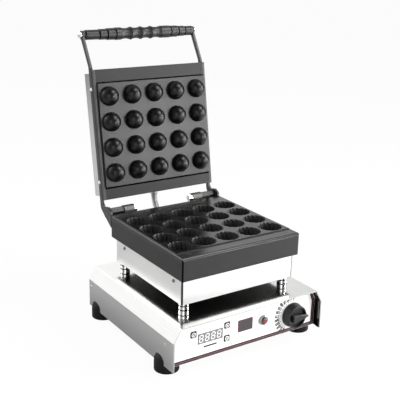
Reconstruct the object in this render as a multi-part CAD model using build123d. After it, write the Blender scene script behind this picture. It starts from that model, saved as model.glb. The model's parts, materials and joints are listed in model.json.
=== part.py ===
from build123d import *
import math
import os

# Countertop tartlet shell maker with a hinged lid, modelled open as it stands when it is being filled.
# A fluted lower mould sits on a sheet steel heating housing, four posts lift that off the control base,
# and two flat arms carry the lid with its domed mould round a hinge behind the housing.
# Millimetres. X runs left to right, Y front to back and Z up. While it is being built, the zero is the
# middle of the cup field on the lower mould's top. The lid is drawn closed, then swung open.

# Cup field, shared by both moulds
cup_columns = 5
cup_rows = 4
cup_pitch_x = 48.0
cup_pitch_y = 47.8
cup_rim_radius = 22.3
cup_floor_radius = 14.5
cup_depth = 21.5
cup_wall = 2.6
flute_count = 14
flute_depth = 1.8
dome_radius = 18.0
mould_gap = 0.4

# Lower mould, a coated casting with a skirt
mould_half_width = 123.7
mould_front = -122.3
mould_back = 126.0
mould_height = 42.3
mould_plate = 6.0
mould_corner = 2.5
mould_front_round = 5.0
mould_top_bevel = 0.9
ledge_drop = 1.7
ledge_depth = 25.3
skirt_seat = 27.0
seat_overlap = 2.6
ledge_bar = 18.0

# Heating housing under the mould
housing_half_width = 118.6
housing_front = -113.6
housing_back = 115.0
housing_bottom = -89.0
housing_sheet = 1.0
housing_bend = 2.0
seat_clearance = 0.6
ledge_flange_depth = 14.0
ledge_flange_gap = 6.6
lug_width = 14.0
lug_thickness = 8.0
lug_gap = 0.3
housing_screw_z = -53.0
housing_screw_inset = 29.0

# Heating elements, their clamp plates and the insulation, alike above and below
element_radius = 4.0
element_half_run = 75.0
clamp_sheet = 2.0
clamp_side_gap = 4.3
clamp_half_depth = 98.0
clamp_screw_radius = 2.5
insulation_gap = 1.0
insulation_side_gap = 11.6
insulation_half_depth = 99.0
bulb_radius = 3.0
bulb_start = 24.0
bulb_end = 66.0

# Posts between the base and the housing
post_radius = 9.1
post_height = 17.2
post_inset = 12.0
post_groove = 1.3
stud_radius = 3.0
post_bore_gap = 0.2
drilled_gap = 0.2

# Control base, one folded sheet with sloping shoulders
base_half_width = 159.3
shoulder_run = 13.5
base_front = -155.0
base_back = 149.3
base_shoulder = 23.8
base_wall = 53.2
base_sheet = 1.2
base_bend = 3.0
hem_depth = 8.7
panel_recess = 17.0
rear_recess = 3.0

# Panels, overlay and floor of the base
panel_sheet = 1.2
panel_flange = 14.0
rear_flange = 8.0
panel_clearance = 0.4
panel_lift = 0.3
overlay_sheet = 0.4
floor_height = 19.0
floor_flange = 16.0
floor_tab_width = 34.0
control_depth = 34.0
vent_length = 40.0
vent_width = 4.0
vent_pitch = 12.0
vent_count = 6

# Rubber feet, domed plugs that stand a little outside the walls
foot_radius = 21.8
foot_height = 36.0
foot_side = 17.0
foot_dome_steps = 6
foot_recess_radius = 5.2
foot_recess = 23.0
foot_inset = 15.6
foot_from_front = 45.8
foot_from_back = 26.5
foot_clearance = 0.4
foot_screw_radius = 2.5

# Control items, placed down from the base's top. The timer keeps to the left end and the knob to the right.
display_from_left = 84.0
display_drop = 39.1
display_width = 51.3
display_height = 19.4
display_window_sheet = 1.6
display_module_depth = 10.2
key_size = 12.0
key_corner = 2.5
key_proud = 1.0
key_travel = 0.6
key_gap = 0.3
key_left_from_left = 49.5
key_right_from_left = 118.4
key_upper_drop = 27.3
key_lower_drop = 52.1
board_width = 92.0
board_height = 46.0
board_sheet = 1.6
badge_x = -1.7
badge_drop = 36.8
badge_width = 32.0
badge_height = 23.0
lamp_x = 36.9
lamp_drop = 37.3
lamp_bezel_radius = 9.3
lamp_barrel_radius = 6.0
lamp_lens_radius = 7.1
knob_from_right = 56.0
knob_drop = 43.0
knob_radius = 22.8
knob_front_radius = 21.2
knob_rim = 2.4
knob_drum = 16.5
knob_recess = 5.0
knob_hollow = 7.0
knob_height = 21.0
knob_pointer = 22.6
knob_lift = 0.8
knob_boss_gap = 0.7
knob_boss_radius = 6.0
shaft_radius = 3.0
shaft_clearance = 0.05
bushing_radius = 5.0
bushing_reach = 2.4

# Fasteners. Holes that a screw only passes through are drilled wider by drilled_gap.
screw_radius = 2.0
ledge_screw_radius = 2.5
ledge_head_radius = 4.6
bracket_bolt_radius = 3.0
bolt_flats = 10.0
bolt_head = 4.0
bolt_nut = 5.0
clamp_head = 3.5
board_screw_radius = 1.6
panel_screw_inset = 8.5
panel_screw_below_fold = 12.8
rear_screw_inset = 5.0
ledge_screw_x = 101.0

# Wiring entries
sleeve_radius = 8.0
sleeve_bore = 6.2
gland_radius = 9.0
gland_height = 12.0
conduit_radius = 5.6
lower_gland_y = 128.0
lid_gland_z = 30.0
lead_first_run = 16.0
inlet_x = -95.0
inlet_drop = 46.0
inlet_bore = 4.0
inlet_length = 26.0

# Hinge line and how far the lid swings back
hinge_y = 144.6
hinge_z = -1.4
open_angle = 99.33
knuckle_inner = 66.5
knuckle_width = 22.0
knuckle_radius = 9.0
hinge_pin_radius = 4.5
hinge_clearance = 0.05
hinge_gap = 0.5
spacer_flats = 14.0
bracket_flange = 46.0
bracket_sheet = 5.0
bracket_foot_top = -50.0
bracket_foot_bottom = -80.0
stop_gap = 0.3

# Lid, drawn closed
lid_half_width = 123.0
lid_front = -121.7
lid_back = 121.6
lid_edge = 5.0
lid_band = 4.2
lid_plate = 3.6
lid_frame_height = 7.1
band_front_depth = 25.1
band_back_depth = 23.5
field_slope = 0.8
frame_lap = 8.0
seam = 0.3
cover_height = 37.8
cover_front = -117.0
cover_back = 118.0
cover_sheet = 1.0
cover_bend = 2.5
upstand = 4.0

# Arms and handle
arm_inner = 119.5
arm_sheet = 4.0
arm_width = 9.0
arm_bend_y = -127.0
arm_boss_radius = 11.2
heel_width = 20.6
heel_angle = 47.7
heel_length = 30.5
handle_y = -186.0
handle_z = 39.5
handle_eye = 8.2
handle_rod_radius = 4.0
grip_left = -114.9
grip_bore_gap = 0.2
arm_screw_ys = (-86.0, 88.0)

# Sizes that follow from those above
base_top_half_width = base_half_width - shoulder_run
housing_inner = housing_half_width - housing_sheet
lug_outer = housing_inner - lug_gap
clamp_half_width = lug_outer - lug_thickness - clamp_side_gap
insulation_half_width = housing_inner - insulation_side_gap
lid_insulation_half_width = arm_inner - cover_sheet - insulation_side_gap
display_x = display_from_left - base_half_width
key_left_x = key_left_from_left - base_half_width
key_right_x = key_right_from_left - base_half_width
knob_x = base_half_width - knob_from_right
closed_lid_face = mould_gap
band_face = closed_lid_face + lid_band
frame_back = band_face + lid_frame_height
mould_back_face = band_face + lid_plate
base_top = housing_bottom - post_height
base_bottom = base_top - base_shoulder - base_wall
ground = base_bottom + floor_height - foot_height
panel_face = base_front + panel_recess
panel_front = panel_face + overlay_sheet
panel_back = panel_front + panel_sheet
field_front = mould_front + ledge_depth
cup_bottom = -cup_depth - cup_wall
arm_outer = arm_inner + arm_sheet
bar_middle = frame_back + arm_width / 2
knuckle_outer = knuckle_inner + knuckle_width
hinge_line = Axis((0, hinge_y, hinge_z), (1, 0, 0))


# Shared helpers


def block(x0, x1, y0, y1, z0, z1):
    """A block between two opposite corners."""
    middle = Pos((x0 + x1) / 2, (y0 + y1) / 2, (z0 + z1) / 2)
    return middle * Box(x1 - x0, y1 - y0, z1 - z0)


def rod(radius, start, end):
    """A round bar from one point to another."""
    reach = Vector(*end) - Vector(*start)
    return extrude(Plane(origin=start, z_dir=reach) * Circle(radius), amount=reach.length)


def hex_bar(flats, start, end):
    """A six-sided bar, measured across its flats."""
    reach = Vector(*end) - Vector(*start)
    section = RegularPolygon(flats / 2, 6, major_radius=False)
    return extrude(Plane(origin=start, z_dir=reach) * section, amount=reach.length)


def turned(points, start, direction):
    """A turned piece. Points are (distance along the axis, radius) from start."""
    along = Plane(origin=start, x_dir=direction, z_dir=Vector(*direction).cross(side_of(direction)))
    outline = make_face(Polyline(*points, close=True))
    return revolve(along * outline, Axis(start, direction))


def side_of(direction):
    """Any direction square to one of the main axes."""
    return Vector(0, 0, 1) if abs(direction[2]) < 0.5 else Vector(1, 0, 0)


def across(face, y0, y1):
    """Extrude an outline drawn in (x, z) from y0 back to y1."""
    return extrude(Plane(origin=(0, y1, 0), x_dir=(1, 0, 0), z_dir=(0, -1, 0)) * face, amount=y1 - y0)


def sideways(face, x0, x1):
    """Extrude an outline drawn in (y, z) from x0 to x1."""
    return extrude(Plane(origin=(x0, 0, 0), x_dir=(0, 1, 0), z_dir=(1, 0, 0)) * face, amount=x1 - x0)


def rectangle_between(x0, x1, y0, y1):
    """A flat rectangle between two opposite corners of its plane."""
    return Pos((x0 + x1) / 2, (y0 + y1) / 2) * Rectangle(x1 - x0, y1 - y0)


def both_sides(shape):
    """The shape and its mirror image across the middle of the machine."""
    return [shape, mirror(shape, about=Plane.YZ)]


def group(shapes):
    """Several separate solids under one name."""
    return Compound(children=[solid for shape in shapes for solid in shape.solids()])


def opened(shape):
    """Swing a lid piece from closed to fully open."""
    return shape.rotate(hinge_line, -open_angle)


def cup_places():
    """Middles of the cups, from the front left to the back right."""
    places = []
    for row in range(cup_rows):
        for column in range(cup_columns):
            x = (column - (cup_columns - 1) / 2) * cup_pitch_x
            y = (row - (cup_rows - 1) / 2) * cup_pitch_y
            places.append((x, y))
    return places


def post_places():
    """Middles of the four posts, inset alike from the housing's walls."""
    xs = (-housing_half_width + post_inset, housing_half_width - post_inset)
    ys = (housing_front + post_inset, housing_back - post_inset)
    return [(x, y) for y in ys for x in xs]


def foot_places():
    """Middles of the four feet."""
    xs = (-base_half_width + foot_inset, base_half_width - foot_inset)
    ys = (base_front + foot_from_front, base_back - foot_from_back)
    return [(x, y) for y in ys for x in xs]


# Lower mould


def fluted_outline(radius):
    """A scalloped ring: each flute is an arc that bows out between two inner ridges."""
    ridge = radius - flute_depth
    step = 2 * math.pi / flute_count
    arcs = []
    for i in range(flute_count):
        marks = [(ridge, i * step), (radius, (i + 0.5) * step), (ridge, (i + 1) * step)]
        arcs.append(ThreePointArc(*[(r * math.cos(a), r * math.sin(a)) for r, a in marks]))
    return make_face(Wire(arcs))


def cup_cavity():
    """The tapered fluted hollow of one cup, its mouth at z = 0."""
    mouth = fluted_outline(cup_rim_radius)
    floor = Pos(0, 0, -cup_depth) * fluted_outline(cup_floor_radius)
    return loft([floor, mouth], ruled=True)


def clamp_places():
    """Gaps between four cups, where a boss reaches down to the clamp plate."""
    x = 1.5 * cup_pitch_x
    y = cup_pitch_y
    return [(-x, -y), (x, -y), (-x, y), (x, y)]


def housing_screw_places():
    """Screw heights and depths on the housing's sides."""
    return [housing_front + housing_screw_inset - 2.6, housing_back - housing_screw_inset - 2.6]


def ledge_screw_places():
    """The two countersunk screws on the front ledge."""
    y = (mould_front + field_front) / 2 + 1.0
    return [(-ledge_screw_x, y), (ledge_screw_x, y)]


def mould_envelope():
    """Outside of the skirt: rounded uprights, a soft front edge and bevelled side and back edges."""
    body = block(-mould_half_width, mould_half_width, mould_front, mould_back, -mould_height, -ledge_drop)
    body = fillet(body.edges().filter_by(Axis.Z), mould_corner)
    body = chamfer(body.faces().sort_by(Axis.Z)[-1].edges(), mould_top_bevel)
    r = mould_front_round
    side = rectangle_between(mould_front, mould_back, -mould_height, -ledge_drop)
    corner = rectangle_between(mould_front, mould_front + r, -ledge_drop - r, -ledge_drop)
    side -= corner - Pos(mould_front + r, -ledge_drop - r) * Circle(r)
    return body & sideways(side, -mould_half_width, mould_half_width)


def make_lower_mould():
    """Skirted casting with the raised field, twenty fluted cups, clamp bosses and side lugs."""
    skirt = mould_envelope()
    seat_x = housing_half_width + seat_clearance
    seat_front = housing_front - seat_clearance
    seat_back = housing_back + seat_clearance
    skirt -= block(-seat_x, seat_x, seat_front, seat_back, -mould_height, -skirt_seat)
    hollow_x = housing_half_width - seat_overlap
    hollow_front = mould_front + ledge_bar
    hollow_back = housing_back - seat_overlap
    under = -ledge_drop - mould_plate
    skirt -= block(-hollow_x, hollow_x, hollow_front, hollow_back, -skirt_seat, under)

    rim_x = mould_half_width - ledge_drop
    field = rectangle_between(-rim_x, rim_x, field_front, mould_back - ledge_drop)
    casting = skirt + extrude(Pos(0, 0, -ledge_drop) * field, amount=ledge_drop, taper=30)

    outer_height = cup_depth + cup_wall - ledge_drop
    cup = Cone(cup_floor_radius + cup_wall, cup_rim_radius + cup_wall, outer_height)
    for x, y in cup_places():
        casting += Pos(x, y, cup_bottom + outer_height / 2) * cup
    clamp_top = cup_bottom - 2 * element_radius
    for x, y in clamp_places():
        casting += rod(5.0, (x, y, under), (x, y, clamp_top))
    for y in housing_screw_places():
        lug = block(lug_outer - lug_thickness, lug_outer, y - lug_width / 2, y + lug_width / 2,
                    housing_screw_z - 8.0, under)
        for side in both_sides(lug):
            casting += side
    cavity = cup_cavity()
    for x, y in cup_places():
        casting -= Pos(x, y, 0) * cavity
    for x, y in clamp_places():
        casting -= rod(clamp_screw_radius, (x, y, clamp_top), (x, y, clamp_top + 10.0))
    for y in housing_screw_places():
        start = (-mould_half_width, y, housing_screw_z)
        casting -= rod(screw_radius, start, (mould_half_width, y, housing_screw_z))
    for screw in ledge_screws():
        casting -= screw
    return casting


def ledge_screws():
    """Countersunk screws that hold the casting to the housing's front flange."""
    r = ledge_screw_radius
    head = [(0, 0), (0, ledge_head_radius), (2.6, r), (33.0, r), (33.0, 0)]
    return [turned(head, (x, y, -ledge_drop), (0, 0, -1)) for x, y in ledge_screw_places()]


# Heating parts


def serpentine(z):
    """One bent tubular element that runs under every row of cups."""
    rows = [(row - (cup_rows - 1) / 2) * cup_pitch_y for row in range(cup_rows)]
    lead = element_half_run + 17.0
    points = [(-lead, rows[0], z)]
    for index in range(cup_rows - 1):
        side = element_half_run + cup_pitch_y / 2
        if index % 2 == 1:
            side = -side
        points.append((side, rows[index], z))
        points.append((side, rows[index + 1], z))
    points.append((-lead if cup_rows % 2 == 0 else lead, rows[-1], z))
    path = FilletPolyline(*points, radius=cup_pitch_y / 2 - 0.1)
    section = Plane(origin=path @ 0, z_dir=path % 0) * Circle(element_radius)
    return sweep(section, path)


def clamp_plate(z):
    """A flat plate that presses the element against the mould, lightened by slots."""
    half = clamp_half_width
    plate = block(-half, half, -clamp_half_depth, clamp_half_depth, z, z + clamp_sheet)
    slot = extrude(Pos(0, 0, z) * SlotOverall(60.0, 16.0), amount=clamp_sheet)
    for x in (-48.0, 48.0):
        plate -= Pos(x, 0, 0) * slot
    for x, y in clamp_places():
        plate -= rod(clamp_screw_radius + 0.3, (x, y, z), (x, y, z + clamp_sheet))
    return plate


def make_lower_clamp():
    """Clamp plate below the lower element."""
    return clamp_plate(cup_bottom - 2 * element_radius - clamp_sheet)


def make_clamp_screws():
    """Screws from the clamp plate up into the casting's bosses."""
    plate = cup_bottom - 2 * element_radius - clamp_sheet
    profile = [(0, 0), (0, 2.4), (9.0, 2.4), (9.0, 0)]
    screws = []
    for x, y in clamp_places():
        shank = turned(profile, (x, y, plate), (0, 0, 1))
        screws.append(shank + hex_bar(8.0, (x, y, plate - clamp_head), (x, y, plate)))
    return group(screws)


def make_lower_insulation():
    """Mineral wool slab with a way through for the leads and a trough for the sensor."""
    top = cup_bottom - 2 * element_radius - clamp_sheet - clamp_head - insulation_gap
    low = housing_bottom + housing_sheet + bolt_nut + insulation_gap
    half = insulation_half_width
    slab = block(-half, half, -insulation_half_depth, insulation_half_depth, low, top)
    slab -= rod(sleeve_radius + 1.0, (0, 0, housing_bottom), (0, 0, top))
    slab -= block(0, bulb_end + 4.0, -2 * bulb_radius, 2 * bulb_radius, top - 8.0, top)
    for x, y in post_places():
        slab -= rod(bolt_flats + insulation_gap, (x, y, housing_bottom), (x, y, top))
    return slab


# Heating housing and posts


def make_lower_housing():
    """Folded sheet box, open at the top, with a flange for the ledge screws."""
    outer = block(-housing_half_width, housing_half_width, housing_front, housing_back,
                  housing_bottom, -skirt_seat)
    outer = fillet(outer.edges().filter_by(Axis.Z), housing_bend)
    outer = chamfer(outer.faces().sort_by(Axis.Z)[0].edges(), 0.8)
    t = housing_sheet
    shell = outer - block(-housing_inner, housing_inner, housing_front + t, housing_back - t,
                          housing_bottom + t, -skirt_seat)
    flange_x = housing_half_width - ledge_flange_gap
    flange_y = housing_front + ledge_flange_depth
    shell += block(-flange_x, flange_x, housing_front + t / 2, flange_y, -skirt_seat - t, -skirt_seat)
    for x, y in ledge_screw_places():
        shell -= rod(ledge_screw_radius + drilled_gap, (x, y, -skirt_seat - 5), (x, y, -skirt_seat + 1))
    for x, y in post_places():
        shell -= rod(stud_radius + drilled_gap, (x, y, housing_bottom - 1), (x, y, housing_bottom + t + 1))
    shell -= rod(sleeve_radius + drilled_gap, (0, 0, housing_bottom - 1), (0, 0, housing_bottom + t + 1))
    for y in housing_screw_places():
        reach = housing_half_width + 1
        shell -= rod(screw_radius + drilled_gap, (-reach, y, housing_screw_z), (reach, y, housing_screw_z))
    hole = bracket_bolt_radius + drilled_gap
    for x, z in bracket_bolt_places():
        for side in (-x, x):
            shell -= rod(hole, (side, housing_back - t - 1, z), (side, housing_back + 1, z))
    return shell


def make_housing_screws():
    """Button-head screws through the housing's sides into the casting's lugs."""
    r = screw_radius
    profile = [(0, 0), (0, r), (9.0, r), (9.0, 3.4), (10.0, 3.1), (10.9, 1.8), (10.9, 0)]
    start = housing_half_width - 9.0
    screws = []
    for y in housing_screw_places():
        screws += both_sides(turned(profile, (start, y, housing_screw_z), (1, 0, 0)))
    return group(screws)


def make_posts():
    """Four turned posts, each a barrel between two grooves, bored for its stud."""
    r = post_radius
    g = post_radius - post_groove
    h = post_height
    bore = stud_radius + post_bore_gap
    profile = [(0, bore), (0, r), (4.0, r), (4.4, g), (5.4, g), (6.0, r), (h - 6.0, r), (h - 5.4, g),
               (h - 4.4, g), (h - 4.0, r), (h, r), (h, bore)]
    return group([turned(profile, (x, y, base_top), (0, 0, 1)) for x, y in post_places()])


def make_post_studs():
    """Bolts that clamp housing, posts and base top together, each with its nut."""
    pieces = []
    for x, y in post_places():
        low = base_top - base_sheet
        high = housing_bottom + housing_sheet
        shank = rod(stud_radius, (x, y, low), (x, y, high))
        head = hex_bar(bolt_flats, (x, y, low - bolt_head), (x, y, low))
        nut = hex_bar(bolt_flats, (x, y, high), (x, y, high + bolt_nut))
        pieces.append(shank + head + nut)
    return group(pieces)


def make_wire_sleeve():
    """Silicone sleeve that carries leads and sensor from the base into the housing."""
    low = base_top - 6.0
    high = housing_bottom + 5.0
    tube = rod(sleeve_radius, (0, 0, low), (0, 0, high)) - rod(sleeve_bore, (0, 0, low), (0, 0, high))
    collar = rod(sleeve_radius + 1.4, (0, 0, base_top), (0, 0, housing_bottom))
    return tube + (collar - rod(sleeve_bore, (0, 0, base_top), (0, 0, housing_bottom)))


# Control base


def base_outline(inset):
    """The folded section, drawn in (x, z), taken in by the given inset."""
    points = [(-base_half_width, base_bottom), (-base_half_width, base_top - base_shoulder),
              (-base_top_half_width, base_top), (base_top_half_width, base_top),
              (base_half_width, base_top - base_shoulder), (base_half_width, base_bottom)]
    face = make_face(Polyline(*points, close=True))
    face = fillet(face.vertices().group_by(Axis.Y)[-1], base_bend)
    if inset == 0:
        return face
    face = offset(face, -inset, kind=Kind.INTERSECTION)
    box = face.bounding_box()
    return face + rectangle_between(box.min.X, box.max.X, base_bottom, base_bottom + 2 * inset)


def foot_section(reach):
    """Half section of a foot in (radius, height): bevelled rim, upright side and a dome in short steps."""
    rim = foot_radius + reach
    last = math.asin((foot_height - foot_side) / rim)
    dome = []
    for step in range(foot_dome_steps + 1):
        angle = last * step / foot_dome_steps
        dome.append((rim * math.cos(angle), foot_side + rim * math.sin(angle)))
    return make_face(Polyline((0, 0), (rim - 1.2, 0), (rim - 0.4, 0.4), (rim, 1.2), *dome,
                              (0, foot_height), close=True))


def make_foot(x, y, clearance=0.0):
    """Domed rubber foot; with a clearance it is the tool that notches the sheet round it."""
    foot = Pos(x, y, ground) * revolve(Plane.XZ * foot_section(clearance), Axis.Z)
    if clearance:
        return foot
    foot -= rod(foot_recess_radius, (x, y, ground), (x, y, ground + foot_recess))
    return foot - rod(foot_screw_radius, (x, y, ground), (x, y, ground + foot_height))


def less_feet(shape):
    """Notch a sheet wherever a foot stands through it."""
    for x, y in foot_places():
        shape -= make_foot(x, y, foot_clearance)
    return shape


def make_base_shell():
    """Folded stainless shell with hemmed ends, notched for the feet and drilled for posts and leads."""
    shell = across(base_outline(0) - base_outline(base_sheet), base_front, base_back)
    hem = base_outline(base_sheet) - base_outline(2 * base_sheet)
    shell += across(hem, base_front, base_front + hem_depth)
    shell = less_feet(shell)
    for x, y in post_places():
        shell -= rod(stud_radius + drilled_gap, (x, y, base_top - 3), (x, y, base_top + 1))
    shell -= rod(sleeve_radius + drilled_gap, (0, 0, base_top - 3), (0, 0, base_top + 1))
    shell -= rod(conduit_radius + 1.0, (0, lower_gland_y, base_top - 3), (0, lower_gland_y, base_top + 1))
    for y, z in panel_screw_places():
        shell -= rod(screw_radius + drilled_gap, (-base_half_width - 1, y, z), (base_half_width + 1, y, z))
    return shell


def panel_screw_places():
    """Screws through the walls into the flanges of the front and rear panels."""
    z = base_top - base_shoulder - panel_screw_below_fold
    return [(panel_back + panel_screw_inset, z), (base_back - rear_recess - rear_screw_inset, z)]


def below_panel():
    """The strip that keeps a panel's lower edge just clear of the base's own."""
    return rectangle_between(-base_half_width, base_half_width, base_bottom - 1, base_bottom + panel_lift)


def panel_tray(face_y, flange, towards):
    """A panel with a flange folded back all round except along its lower edge."""
    outline = base_outline(base_sheet + panel_clearance)
    outline -= below_panel()
    inner = base_outline(base_sheet + panel_clearance + panel_sheet)
    inner -= below_panel()
    if towards > 0:
        tray = across(outline, face_y, face_y + flange)
        return tray - across(inner, face_y + panel_sheet, face_y + flange)
    tray = across(outline, face_y - flange, face_y)
    return tray - across(inner, face_y - flange, face_y - panel_sheet)


def key_places():
    """Middles of the three keys across and up the panel, by name."""
    return {
        "key_left": (key_left_x, base_top - key_upper_drop),
        "key_upper": (key_right_x, base_top - key_upper_drop),
        "key_lower": (key_right_x, base_top - key_lower_drop),
    }


def rounded_square(size, corner):
    """A square with rounded corners."""
    return RectangleRounded(size, size, corner)


def panel_cuts(y0, y1, shaft_hole):
    """Everything that is cut through the panel and its overlay."""
    opening = Rectangle(display_width + key_gap, display_height + key_gap)
    window = Pos(display_x, base_top - display_drop) * opening
    cuts = [across(window, y0, y1)]
    for x, z in key_places().values():
        cuts.append(across(Pos(x, z) * rounded_square(key_size + 2 * key_gap, key_corner), y0, y1))
    lamp_z = base_top - lamp_drop
    cuts.append(rod(lamp_barrel_radius + 0.15, (lamp_x, y0, lamp_z), (lamp_x, y1, lamp_z)))
    knob_z = base_top - knob_drop
    cuts.append(rod(shaft_hole, (knob_x, y0, knob_z), (knob_x, y1, knob_z)))
    return cuts


def make_front_panel():
    """Recessed steel panel with flanges and the openings for the controls."""
    panel = panel_tray(panel_front, panel_flange, 1) + lower_trough()
    for cut in panel_cuts(panel_front - 1, panel_back + 1, bushing_radius + 0.2):
        panel -= cut
    for y, z in panel_screw_places()[:1]:
        panel -= rod(screw_radius + drilled_gap, (-base_half_width, y, z), (base_half_width, y, z))
    return less_feet(panel)


def lower_trough():
    """The panel's lower edge, folded back under the controls and up to the floor plate."""
    half = base_half_width - base_sheet - panel_clearance - floor_tab_width - 4.0
    low = base_bottom + panel_lift
    back = panel_front + control_depth
    sheet = block(-half, half, panel_front, back, low, low + panel_sheet)
    riser = block(-half, half, back - panel_sheet, back, low, base_bottom + floor_height - panel_clearance)
    return sheet + riser


def make_panel_overlay():
    """Printed film on the front panel."""
    outline = base_outline(base_sheet + panel_clearance)
    outline -= below_panel()
    film = across(outline, panel_face, panel_front)
    for cut in panel_cuts(panel_face - 1, panel_front + 1, bushing_radius + 0.2):
        film -= cut
    return less_feet(film)


def vents(x, y, z, direction):
    """A row of rounded slots cut through a sheet."""
    cuts = []
    for i in range(vent_count):
        shift = (i - (vent_count - 1) / 2) * vent_pitch
        if direction == "down":
            slot = Pos(x, y + shift, z - 2) * SlotOverall(vent_length, vent_width)
            cuts.append(extrude(slot, amount=4))
        else:
            slot = Pos(x + shift, z) * Rot(0, 0, 90) * SlotOverall(vent_length * 0.6, vent_width)
            cuts.append(across(slot, y - 2, y + 2))
    return cuts


def make_rear_panel():
    """Rear closing panel with vents and the hole for the supply lead's gland."""
    face = base_back - rear_recess
    panel = panel_tray(face, rear_flange, -1)
    for cut in vents(50.0, face - panel_sheet / 2, base_top - 40.0, "back"):
        panel -= cut
    z = base_top - inlet_drop
    panel -= rod(8.2, (inlet_x, face - 3, z), (inlet_x, face + 1, z))
    for y, z in panel_screw_places()[1:]:
        panel -= rod(screw_radius + drilled_gap, (-base_half_width, y, z), (base_half_width, y, z))
    return panel


def make_floor_plate():
    """Vented floor with side flanges, and two tabs that reach forward to the front feet."""
    z = base_bottom + floor_height
    half = base_half_width - base_sheet - panel_clearance
    y0 = panel_front + control_depth + 1.0
    y1 = base_back - rear_recess - rear_flange - 1.0
    plate = block(-half, half, y0, y1, z, z + base_sheet)
    tab_outer = half - panel_sheet - panel_clearance
    tab = block(half - floor_tab_width, tab_outer, panel_back + 1.0, y0, z, z + base_sheet)
    flange = block(half - base_sheet, half, y0, y1, z, z + floor_flange)
    for side in both_sides(tab) + both_sides(flange):
        plate += side
    for x in (-60.0, 60.0):
        for cut in vents(x, 0.0, z, "down"):
            plate -= cut
    for x, y in foot_places():
        plate -= rod(foot_screw_radius, (x, y, z - 1), (x, y, z + 3))
    return plate


def make_foot_screws():
    """Screws that hold the feet to the floor plate, each with a washer and a nut."""
    pieces = []
    top = base_bottom + floor_height + base_sheet
    for x, y in foot_places():
        seat = ground + foot_recess
        shank = rod(foot_screw_radius, (x, y, seat), (x, y, top + 5.5))
        head = rod(foot_recess_radius - 0.6, (x, y, seat - 3.5), (x, y, seat))
        nut = hex_bar(8.0, (x, y, top), (x, y, top + 4.0))
        pieces.append(shank + head + nut)
    return group(pieces)


def make_panel_screws():
    """Small screws that hold both panels between the walls."""
    screws = []
    for y, z in panel_screw_places():
        profile = [(0, 0), (0, screw_radius), (7.0, screw_radius), (7.0, 3.0), (7.9, 2.5), (7.9, 0)]
        screws += both_sides(turned(profile, (base_half_width - 7.0, y, z), (1, 0, 0)))
    return group(screws)


# Control items


def make_display_window():
    """Grey lens of the timer display, flush with the overlay."""
    lens = Pos(display_x, base_top - display_drop) * Rectangle(display_width, display_height)
    return across(lens, panel_face, panel_face + display_window_sheet)


def make_display_module():
    """Four-digit display block between the lens and the board."""
    y0 = panel_face + display_window_sheet
    module = Pos(display_x, base_top - display_drop) * Rectangle(display_width - 1.0, display_height - 0.4)
    return across(module, y0, board_front())


def board_front():
    """Front face of the control board."""
    return panel_face + display_window_sheet + display_module_depth


def make_control_board():
    """Circuit board with its transformer, relay, connector and push switches."""
    y0 = board_front()
    y1 = y0 + board_sheet
    z = base_top - display_drop - 0.8
    board = across(Pos(display_x, z) * Rectangle(board_width, board_height), y0, y1)
    parts = [(-28.0, 8.0, 26.0, 22.0, 18.0), (10.0, 10.0, 18.0, 14.0, 15.0), (0.0, -14.0, 20.0, 8.0, 10.0)]
    for dx, dz, width, height, depth in parts:
        board += across(Pos(display_x + dx, z + dz) * Rectangle(width, height), y1, y1 + depth)
    for switch in key_switches():
        board += switch
    for x, zz in standoff_places():
        board -= rod(board_screw_radius, (x, y0 - 1, zz), (x, y1 + 1, zz))
    return board


def standoff_places():
    """Pillars that carry the board, clear of the display and the keys."""
    z = base_top - display_drop
    return [(display_x + dx, z + dz) for dx in (-17.0, 17.0) for dz in (-18.5, 18.0)]


def make_board_standoffs():
    """Four pillars between the front panel and the board."""
    pillar = board_screw_radius + 1.0
    return group([rod(pillar, (x, panel_back, z), (x, board_front(), z)) for x, z in standoff_places()])


def make_key(x, z):
    """Square key with a flange that keeps it behind the panel."""
    front = panel_face - key_proud
    flange = panel_back + 0.2
    cap = across(Pos(x, z) * rounded_square(key_size, key_corner - key_gap), front, flange)
    cap = chamfer(cap.faces().sort_by(Axis.Y)[0].edges(), 0.35)
    return cap + across(Pos(x, z) * Rectangle(key_size + 2.4, key_size + 2.4), flange, flange + 2.0)


def key_switches():
    """Three push switches on the board, one behind each key."""
    y1 = board_front()
    tip = panel_back + 2.2 + key_travel + 0.1
    pieces = []
    for x, z in key_places().values():
        body = across(Pos(x, z) * Rectangle(6.2, 6.2), y1 - 3.6, y1)
        pieces.append(body + rod(1.75, (x, tip, z), (x, y1 - 3.6, z)))
    return pieces


def make_badge_plate():
    """Blank plate on the overlay where such machines carry a badge."""
    outline = RectangleRounded(badge_width, badge_height, 2.0)
    plate = across(Pos(badge_x, base_top - badge_drop) * outline, panel_face - 0.6, panel_face)
    return chamfer(plate.faces().sort_by(Axis.Y)[0].edges(), 0.3)


def make_lamp_bezel():
    """Chromed ring with a threaded barrel."""
    r = lamp_bezel_radius
    b = lamp_barrel_radius
    seat = lamp_lens_radius + 0.1
    profile = [(-5.0, seat), (-5.0, r - 1.4), (-4.4, r - 0.6), (-2.0, r), (0, r), (0, b), (22.0, b),
               (22.0, b - 1.2), (-1.5, b - 1.2), (-1.5, seat)]
    return turned(profile, (lamp_x, panel_face, base_top - lamp_drop), (0, 1, 0))


def make_lamp_lens():
    """Red domed lens seated in the bezel."""
    r = lamp_lens_radius
    profile = [(-1.5, 0), (-1.5, r), (-5.2, r), (-6.6, r * 0.86), (-7.6, r * 0.5), (-8.0, 0)]
    return turned(profile, (lamp_x, panel_face, base_top - lamp_drop), (0, 1, 0))


def make_lamp_body():
    """Lamp holder inside the barrel, with two blade terminals."""
    x = lamp_x
    z = base_top - lamp_drop
    inner = lamp_barrel_radius - 1.3
    body = rod(inner, (x, panel_face - 1.5, z), (x, panel_face + 30.0, z))
    for dx in (-2.4, 2.4):
        body += block(x + dx - 0.4, x + dx + 0.4, panel_face + 30.0, panel_face + 38.0, z - 2.4, z + 2.4)
    return body


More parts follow.
